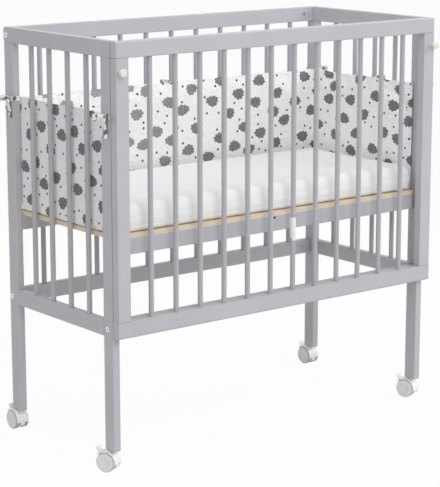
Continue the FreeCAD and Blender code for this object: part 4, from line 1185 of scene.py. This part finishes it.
@dataclass
class Mattress(Assembly):
    """The foam mattress in its knitted cover, crowned and drawn in along its sides."""

    shrink: float = 0.5 * MM
    corner: float = 10.0 * MM
    edge: float = 17.0 * MM
    edge_draw: float = 0.16
    bottom_edge: float = 0.35
    crown: float = 5.0 * MM
    ripple: float = 4.2 * MM
    ripple_pitch: float = 34.0 * MM
    ripple_bend: float = 0.12
    ripple_turns: float = 9.0
    cell: float = 7.5 * MM
    swell_limit: float = 2.4 * MM
    fill: float = 0.9
    cloth: ClothRun = ClothRun(pressure=3.0, frames=18, grow=0.012)

    def outline(self, x: float, y: float, reach: Vector) -> tuple[float, float]:
        """Moves a point of the unit square onto the mattress's rounded plan.

        Args:
            x: Place along the mattress, from -1 to 1.
            y: Place across it, from -1 to 1.
            reach: Half length and half width.

        Returns:
            The place in metres from the mattress's middle.
        """
        far_x, far_y = reach.x - self.corner, reach.y - self.corner
        real_x, real_y = x * reach.x, y * reach.y
        past_x, past_y = abs(real_x) - far_x, abs(real_y) - far_y
        if past_x > 0 and past_y > 0:
            round_off = max(past_x, past_y) / math.hypot(past_x, past_y)
            real_x = math.copysign(far_x + past_x * round_off, real_x)
            real_y = math.copysign(far_y + past_y * round_off, real_y)
        return real_x, real_y

    def block(self) -> bpy.types.Mesh:
        """The mattress before it swells: a closed grid over its six sides."""
        low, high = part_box("mattress")
        centre = (low + high) / 2
        reach = (high - low) / 2 - Vector((self.shrink, self.shrink, 0))
        thick = high.z - low.z - self.crown
        along, across, up = [round(size / self.cell)
                             for size in (2 * reach.x, 2 * reach.y, thick)]

        def place(i: int, j: int, k: int) -> Vector:
            """The place of a grid point, counted in cells along, across and up."""
            x, y = self.outline(2 * i / along - 1, 2 * j / across - 1, reach)
            level = k / up
            from_edge = min(reach.x - abs(x), reach.y - abs(y))
            rim = max(0.0, 1 - from_edge / self.edge)
            drop = self.edge * (1 - math.sqrt(max(0.0, 1 - rim * rim)))
            bottom, top = self.bottom_edge * drop, thick - drop
            plateau = (1 - (x / reach.x) ** 4) * (1 - (y / reach.y) ** 4)
            swing = 2 * math.pi * (y / self.ripple_pitch
                                   + self.ripple_bend * math.sin(self.ripple_turns * x))
            top += (self.crown - self.ripple * (0.5 + 0.5 * math.sin(swing))) * plateau
            inset = abs(self.edge * self.edge_draw * math.cos(math.pi * level)) * rim
            return centre + Vector((x * (1 - inset / reach.x), y * (1 - inset / reach.y),
                                    low.z - centre.z + bottom + (top - bottom) * level))

        def fill(shape: bmesh.types.BMesh) -> None:
            """Adds the six sides."""
            def sheet(rows: int, columns: int, at: Callable[[int, int], Vector]) -> None:
                """Adds one side, whose grid points are found by a function."""
                grid = [[shape.verts.new(at(row, column)) for column in range(columns + 1)]
                        for row in range(rows + 1)]
                for row in range(rows):
                    for column in range(columns):
                        shape.faces.new((grid[row][column], grid[row + 1][column],
                                         grid[row + 1][column + 1], grid[row][column + 1]))
            for k in (0, up):
                sheet(along, across, lambda i, j, k=k: place(i, j, k))
            for j in (0, across):
                sheet(along, up, lambda i, k, j=j: place(i, j, k))
            for i in (0, along):
                sheet(across, up, lambda j, k, i=i: place(i, j, k))

        return bm_mesh("mattress_cover", fill)

    def build(self) -> None:
        cover = new_piece("mattress_cover", self.block(), self.palette.jersey)
        low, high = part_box("mattress")
        rest = [vertex.co.copy() for vertex in cover.data.vertices]
        for vertex, start, end in zip(cover.data.vertices, rest, self.cloth.run(cover)):
            spot = start + capped(end - start, self.swell_limit)
            vertex.co = [min(max(value, floor), top)
                         for value, floor, top in zip(spot, low, high)]
        rounded(cover)
        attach(cover, "mattress_body")
        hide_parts("mattress")
        log.info("mattress: %d faces", len(cover.data.polygons))


@dataclass
class Bumper(Assembly):
    """The padded cotton bumper: one strip round both ends and the back, hemmed all round."""

    corner: float = 15.0 * MM
    set_back: float = 10.0 * MM
    hem: float = 8.0 * MM
    hem_cells: int = 2
    cell: float = 8.0 * MM
    corner_cell: float = 4.0 * MM
    half_thick: float = 3.0 * MM
    hem_half: float = 0.9 * MM
    loft_half: float = 2.4 * MM
    puff_limit: float = 7.0 * MM
    low_puff: float = 0.6 * MM
    puff_from: float = -10.0 * MM
    puff_full: float = 30.0 * MM
    sway_pitch: float = 190.0 * MM
    sway_depth: float = 3.0 * MM
    sway_from: float = 100.0 * MM
    stitch_drop: float = 1.0 * MM
    stitch_pad: float = 0.15 * MM
    stitch_steps: int = 240
    fill: float = 0.35
    cloth: ClothRun = ClothRun(pressure=2.2, frames=20, grow=0.03, bending=0.1)
    seam: Stitching = Stitching()

    def __post_init__(self) -> None:
        """Reads the space that the bumper has."""
        self.low, self.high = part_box("bumper")
        self.run_x = self.high.x - self.half_thick
        self.back_y = self.high.y - self.half_thick
        self.height = self.high.z - self.low.z
        self.side = self.back_y - self.corner - self.low.y - self.set_back
        self.back = 2 * (self.run_x - self.corner)
        self.arc = self.corner * math.pi / 2
        self.length = 2 * self.side + 2 * self.arc + self.back

    def centre(self, along: float) -> tuple[Vector, Vector]:
        """Finds a point of the strip's middle line in plan.

        Args:
            along: Distance in metres from the strip's left front end.

        Returns:
            The point and the direction away from the bed.
        """
        mirror = Vector((-1 if along < self.length / 2 else 1, 1, 0))
        away = abs(along - self.length / 2)
        straight = self.back / 2
        if away <= straight:
            point, out = Vector((away, self.back_y, 0)), Vector((0, 1, 0))
        elif away <= straight + self.arc:
            turn = (away - straight) / self.corner
            out = Vector((math.sin(turn), math.cos(turn), 0))
            point = Vector((straight, self.back_y - self.corner, 0)) + out * self.corner
        else:
            rest = away - straight - self.arc
            point = Vector((self.run_x, self.back_y - self.corner - rest, 0))
            out = Vector((1, 0, 0))
        return point * mirror, out * mirror

    def cells(self, spans: Sequence[tuple[float, float]]) -> list[float]:
        """Splits a width into a hem at each end and even cells between.

        Args:
            spans: Length of each part between the hems, and the size of its cells.

        Returns:
            The places across the width.
        """
        places = [self.hem * step / self.hem_cells for step in range(self.hem_cells + 1)]
        for span, cell in spans:
            start, count = places[-1], round(span / cell)
            places += [start + span * step / count for step in range(1, count + 1)]
        return places + [places[-1] + place for place in places[1:self.hem_cells + 1]]

    def sway(self, along: float, height: float) -> float:
        """Finds how far the loose top edge dips.

        Args:
            along: Distance in metres from the strip's left front end.
            height: Height in metres above the strip's lower edge.

        Returns:
            The dip, below zero.
        """
        slow, quick = [0.5 + 0.5 * math.sin(2 * math.pi * along / (share * self.sway_pitch) + lag)
                       for share, lag in ((1, 0), (0.37, 1))]
        return (-self.sway_depth * (0.7 * slow + 0.3 * quick)
                * ease(height, self.sway_from, self.height))

    def build(self) -> None:
        """Builds the strip, puffs it towards the bed and sews its hem."""
        side, arc = (self.side - self.hem, self.cell), (self.arc, self.corner_cell)
        strip, free = self.strip(self.cells((side, arc, (self.back, self.cell), arc, side)),
                                 self.cells(((self.height - 2 * self.hem, self.cell),)))
        self.puff(strip, free)
        rounded(strip)
        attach(strip, "frame")
        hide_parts("bumper")
        self.trim()
        log.info("bumper: %d faces, %.2f m long", len(strip.data.polygons), self.length)

    def strip(self, columns: Sequence[float],
              rows: Sequence[float]) -> tuple[bpy.types.Object, list[int]]:
        """Makes the strip before it puffs, with its flat map and the weights that hold it.

        Args:
            columns: Places along the strip.
            rows: Places up the strip.

        Returns:
            The piece, and the numbers of the vertices on its side towards the bed.
        """
        wide, tall = len(columns), len(rows)
        size = wide * tall
        places, spots = [], []

        def from_edge(column: int, row: int) -> int:
            """How many cells a grid point lies from the strip's border."""
            return min(column, wide - 1 - column, row, tall - 1 - row)

        def index(skin: int, column: int, row: int) -> int:
            """The number of a grid point; the two skins share the border's points."""
            return (skin * size if from_edge(column, row) else 0) + column * tall + row

        for skin in (1, -1):
            for column, along in enumerate(columns):
                middle, out = self.centre(along)
                for row, height in enumerate(rows):
                    inner = from_edge(column, row)
                    half = 0.0 if not inner else (
                        self.hem_half if inner <= self.hem_cells else self.loft_half)
                    spot = middle + out * (half * skin)
                    spot.z = self.low.z + height + self.sway(along, height)
                    places.append(spot)
                    spots.append((along, height))
        faces = []
        for skin, way in ((0, -1), (1, 1)):
            for column in range(wide - 1):
                for row in range(tall - 1):
                    faces.append([index(skin, column + right, row + up) for right, up in
                                  ((0, 0), (1, 0), (1, 1), (0, 1))][::way])
        used = sorted({number for face in faces for number in face})
        renumber = {number: place for place, number in enumerate(used)}
        mesh = bpy.data.meshes.new("bumper_strip")
        mesh.from_pydata([places[number] for number in used], [],
                         [[renumber[number] for number in face] for face in faces])
        mesh.update()
        flat = mesh.uv_layers.new(name="flat_cloth")
        for loop in mesh.loops:
            flat.data[loop.index].uv = spots[used[loop.vertex_index]]
        piece = new_piece("bumper_strip", mesh, self.palette.cotton)
        held = piece.vertex_groups.new(name="held")
        for place, number in enumerate(used):
            still = number < size or from_edge(*divmod(number % size, tall)) <= self.hem_cells
            held.add([place], 1.0 if still else 0.0, "REPLACE")
        return piece, [place for place, number in enumerate(used) if number >= size]

    def puff(self, strip: bpy.types.Object, free: Sequence[int]) -> None:
        """Swells the side that faces the bed, and less where the mattress lies against it.

        Args:
            strip: The strip.
            free: Numbers of the vertices that may move.
        """
        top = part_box("mattress")[1].z
        vertices = strip.data.vertices
        ends = self.cloth.run(strip, "held")
        for number in free:
            rest = vertices[number].co.copy()
            share = ease(rest.z, top + self.puff_from, top + self.puff_full)
            limit = self.low_puff + (self.puff_limit - self.low_puff) * share
            vertices[number].co = rest + capped(ends[number] - rest, limit)

    def trim(self) -> None:
        """Sews the top hem on both faces."""
        height = self.height - self.hem
        seams = [[], []]
        for step in range(self.stitch_steps + 1):
            along = self.hem + (self.length - 2 * self.hem) * step / self.stitch_steps
            middle, out = self.centre(along)
            middle.z = self.low.z + height + self.stitch_drop + self.sway(along, height)
            for seam, skin in zip(seams, (1, -1)):
                seam.append(middle + out * ((self.hem_half + self.stitch_pad) * skin))
        self.seam.sew("bumper_hem_stitches", seams, "frame", "bumper_cotton", self.palette.thread)


# ----------------------------------------------------------------------------------------------
# Ties
# ----------------------------------------------------------------------------------------------
@dataclass(frozen=True)
class Tie:
    """One bow: where it is knotted, which way it faces, its size and its tape's plan points."""

    knot: Spot
    facing: float
    scale: float
    seed: int
    wrap: Sequence[tuple[float, float]]


@dataclass
class Ties(Assembly):
    """Cotton tapes that tie the bumper to the legs and to single slats."""

    width: float = 10.0 * MM
    thickness: float = 0.7 * MM
    curl: float = 0.25
    section: tuple[tuple[float, float], ...] = (
        (-1, 0.35), (-0.55, 1), (0.55, 1), (1, 0.35),
        (1, -0.35), (0.55, -1), (-0.55, -1), (-1, -0.35))
    loop: float = 23.0 * MM
    loop_width: float = 0.92
    tail: float = 44.0 * MM
    tail_width: float = 0.86
    knot_half: tuple[float, float] = (2.6, 3.6)
    knot_width: float = 0.62
    knot_points: int = 10
    steps: int = 6
    fold: float = 1.2 * MM
    gap: float = 0.75 * MM
    inner_gap: float = 0.1 * MM
    tape_end: float = 1.0 * MM
    slat_scale: float = 0.8
    slat_turn: int = 15
    slat_points: int = 9
    corner_seed: int = 11
    slat_seed: int = 21

    def ribbon(self, shape: bmesh.types.BMesh, line: Sequence[Vector], up: Sequence[Vector],
               width: float, closed: bool = False) -> None:
        """Adds a flat tape along a line.

        Args:
            shape: The mesh that receives it.
            line: Points of its middle.
            up: Direction of its width at each point.
            width: Its width.
            closed: Whether its ends join.
        """
        rings = []
        count = len(line)
        for number, (point, broad) in enumerate(zip(line, up)):
            before = line[number - 1] if number or closed else line[0]
            after = line[(number + 1) % count] if number + 1 < count or closed else line[-1]
            ahead = (after - before).normalized()
            across = (broad - ahead * broad.dot(ahead)).normalized()
            face = ahead.cross(across).normalized()
            rings.append([shape.verts.new(point + across * (side * width / 2) + face * (
                self.thickness * (lift / 2 + self.curl * side * side)))
                for side, lift in self.section])
        join_rings(shape, rings, closed)

    def bow(self, shape: bmesh.types.BMesh, tie: Tie) -> None:
        """Adds a knot, two loops and two hanging ends, through points in millimetres.

        Args:
            shape: The mesh that receives them.
            tie: The bow's place and size.
        """
        chance = random.Random(tie.seed)
        place = (Matrix.Translation(tie.knot) @ Matrix.Rotation(tie.facing, 4, "Z")
                 @ Matrix.Diagonal((tie.scale, tie.scale, tie.scale, 1)))
        turn = place.to_3x3().normalized()
        width = self.width * tie.scale

        def put(points: Sequence[Spot]) -> list[Vector]:
            """Moves points of the bow's own space onto the crib."""
            return [place @ (Vector(point) * MM) for point in points]

        for side in (-1, 1):
            out = self.loop / MM + chance.uniform(-2.5, 1.5)
            rise = chance.uniform(-2.5, 3.0)
            line = smooth_path(put([
                (-2.6, side * 1.5, 0.5), (-5.5, side * out * 0.32, 2.0 + rise * 0.3),
                (-11.0, side * out * 0.72, 3.2 + rise * 0.7),
                (-15.5, side * out * 0.98, 1.5 + rise), (-15.0, side * out, -2.0 + rise),
                (-9.0, side * out * 0.78, -3.0 + rise * 0.6),
                (-4.0, side * out * 0.36, -1.8), (-2.2, side * 1.2, -0.6)]), self.steps)
            lean = turn @ Vector((0.1 * side, 0.22 * side, 1.0)).normalized()
            self.ribbon(shape, line, [lean] * len(line), width * self.loop_width)
            drop = self.tail / MM + chance.uniform(-7, 3)
            spread = chance.uniform(5, 10)
            line = smooth_path(put([
                (-2.8, side * 1.5, -1.0), (-4.6, side * 3.0, -6.0),
                (-5.2, side * spread * 0.55, -drop * 0.38),
                (-3.8, side * spread * 0.9, -drop * 0.7),
                (-3.0 - chance.uniform(0, 2.5), side * spread, -drop)]), self.steps)
            broad = [turn @ Vector((0.35 * side * number / len(line), 1.0, 0.1 * side))
                     for number in range(len(line))]
            self.ribbon(shape, line, broad, width * self.tail_width)
        deep, tall = self.knot_half
        turns = [2 * math.pi * step / self.knot_points for step in range(self.knot_points)]
        ring = smooth_path(put([(-3.0 - deep * math.cos(angle), 0.0, tall * math.sin(angle))
                                for angle in turns]), 3, closed=True)
        self.ribbon(shape, ring, [turn @ Vector((0, 1, 0))] * len(ring),
                    width * self.knot_width, True)

    def wrap(self, shape: bmesh.types.BMesh, tie: Tie) -> None:
        """Adds the tape that goes round the timber, folded at each corner.

        Args:
            shape: The mesh that receives it.
            tie: The tie, with the plan points of its tape.
        """
        corners = [Vector((x, y, tie.knot[2])) for x, y in tie.wrap]
        line = [corners[0]]
        for before, point, after in zip(corners, corners[1:], corners[2:]):
            for other in (before, after):
                step = other - point
                line.append(point + step.normalized() * min(self.fold, step.length / 3))
        line.append(corners[-1])
        self.ribbon(shape, line, [Vector((0, 0, 1))] * len(line), self.width * tie.scale)

    def tie_all(self, name: str, node: str, ties: Sequence[Tie]) -> None:
        """Builds a set of ties as one piece.

        Args:
            name: Name of the piece.
            node: The solid that it stands for.
            ties: The ties.
        """
        def fill(shape: bmesh.types.BMesh) -> None:
            """Adds each bow and its tape."""
            for tie in ties:
                self.bow(shape, tie)
                self.wrap(shape, tie)

        piece = new_piece(name, bm_mesh(name, fill), self.palette.tape, crease=55)
        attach(piece, "frame")
        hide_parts(node)
        log.info("%s: %d", name, len(ties))

    def build(self) -> None:
        """Builds the corner ties and the slat ties."""
        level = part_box("corner_ties")[1].z - self.width / 2
        ties = []
        for end in ("front", "back"):
            for side_name, side in (("left", -1), ("right", 1)):
                low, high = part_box(f"{end}_{side_name}_leg")
                outer, inner = ((low.x - self.gap, high.x + self.inner_gap) if side < 0
                                else (high.x + self.gap, low.x - self.inner_gap))
                far, near = high.y + self.gap, low.y - self.gap
                points = [(inner, far), (outer, far), (outer, near), (inner, near)]
                if end == "front":
                    points[2:] = [(outer, low.y + self.tape_end)]
                ties.append(Tie((outer, (low.y + high.y) / 2, level), 0.0 if side < 0 else math.pi,
                                1.0, self.corner_seed + len(ties), points))
        self.tie_all("corner_tie_tapes", "corner_ties", ties)
        low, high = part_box("back_slats")
        back = Vector((0.0, (low.y + high.y) / 2, level))
        low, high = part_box("right_end_slats")
        radius = (high.x - low.x) / 2
        pitch = (high.y - low.y - 2 * radius) / 3
        second = Vector((high.x - radius, low.y + radius + pitch, level))
        reach = radius + self.gap
        ties = []
        for centre, facing in ((back, -math.pi / 2), (second, math.pi)):
            turn = Matrix.Rotation(facing, 3, "Z")
            ring = [centre + turn @ (Vector((-math.cos(angle), -math.sin(angle), 0)) * reach)
                    for angle in [math.radians(self.slat_turn * step)
                                  for step in range(-self.slat_points, self.slat_points + 1)]]
            ties.append(Tie(tuple(centre - turn @ Vector((reach, 0, 0))), facing, self.slat_scale,
                            self.slat_seed + len(ties), [(point.x, point.y) for point in ring]))
        self.tie_all("slat_tie_tapes", "slat_ties", ties)


# ----------------------------------------------------------------------------------------------
# Studio
# ----------------------------------------------------------------------------------------------
@dataclass
class Studio:
    """Floor, sky, lamps and camera."""

    camera_place: Spot = (-2.644, -3.3435, 1.344)
    camera_yaw: float = math.radians(38.204)
    camera_pitch: float = math.radians(12.14)
    lens: float = 133.3
    sensor: float = 36.0
    far_clip: float = 60.0
    sky: float = 0.45
    floor_half: float = 14.0
    aim: Spot = (0.0, 0.0, 0.55)
    lamps: tuple[tuple[str, Spot, float, float], ...] = (
        ("front_softbox", (-1.0, -4.3, 3.6), 2.4, 84.0),
        ("right_softbox", (3.75, -2.17, 3.05), 2.6, 80.0),
        ("left_softbox", (-4.1, -0.7, 2.4), 2.4, 15.0),
        ("top_softbox", (-0.3, -0.2, 4.4), 2.0, 36.0))

    def build(self) -> None:
        """Builds the studio: its lamps are square softboxes, sized in metres and watts."""
        self.world()
        self.floor()
        for name, place, size, power in self.lamps:
            data = bpy.data.lights.new(name, "AREA")
            data.size, data.energy = size, power
            lamp = self.put(name, data, place)
            aim = Vector(self.aim) - Vector(place)
            lamp.rotation_euler = aim.to_track_quat("-Z", "Y").to_euler()
        data = bpy.data.cameras.new("camera")
        data.lens, data.sensor_width, data.clip_end = self.lens, self.sensor, self.far_clip
        camera = self.put("camera", data, self.camera_place)
        camera.rotation_euler = (math.pi / 2 - self.camera_pitch, 0.0, -self.camera_yaw)
        bpy.context.scene.camera = camera
        bpy.context.scene.view_settings.view_transform = "Standard"
        log.info("studio built")

    def put(self, name: str, data: bpy.types.ID, place: Spot) -> bpy.types.Object:
        """Places a lamp or the camera.

        Args:
            name: Name of the object.
            data: The lamp or the camera.
            place: Its place.

        Returns:
            The object.
        """
        thing = bpy.data.objects.new(name, data)
        bpy.context.scene.collection.objects.link(thing)
        thing.location = place
        return thing

    def world(self) -> None:
        """Makes a plain pale sky that the camera and mirrors see as white."""
        world = bpy.data.worlds.new("studio_sky")
        world.use_nodes = True
        world.node_tree.nodes.clear()
        node = partial(add, world.node_tree)
        strength = node("Math", [bright_rays(node), 1.0 - self.sky, self.sky],
                        operation="MULTIPLY_ADD")
        node("OutputWorld", {"Surface": node("Background", {"Color": linear("FFFFFF"),
                                                            "Strength": strength})})
        bpy.context.scene.world = world

    def floor(self) -> None:
        """Lays a wide sheet of pale paper under the casters."""
        half = self.floor_half
        mesh = bpy.data.meshes.new("studio_floor")
        mesh.from_pydata([(-half, -half, 0), (half, -half, 0), (half, half, 0), (-half, half, 0)],
                         [], [(0, 1, 2, 3)])
        floor = new_piece("studio_floor", mesh, StudioFloor("seamless_paper", "E6E6E7").build())


def main() -> None:
    """Builds and dresses every sub-assembly in order."""
    logging.basicConfig(level=logging.INFO, format="%(name)s: %(message)s")
    palette = Palette()
    Studio().build()
    for assembly in (TimberFrame, Barrier, Casters, Mattress, Bumper, Ties):
        assembly(palette).build()


if __name__ == "__main__":
    main()
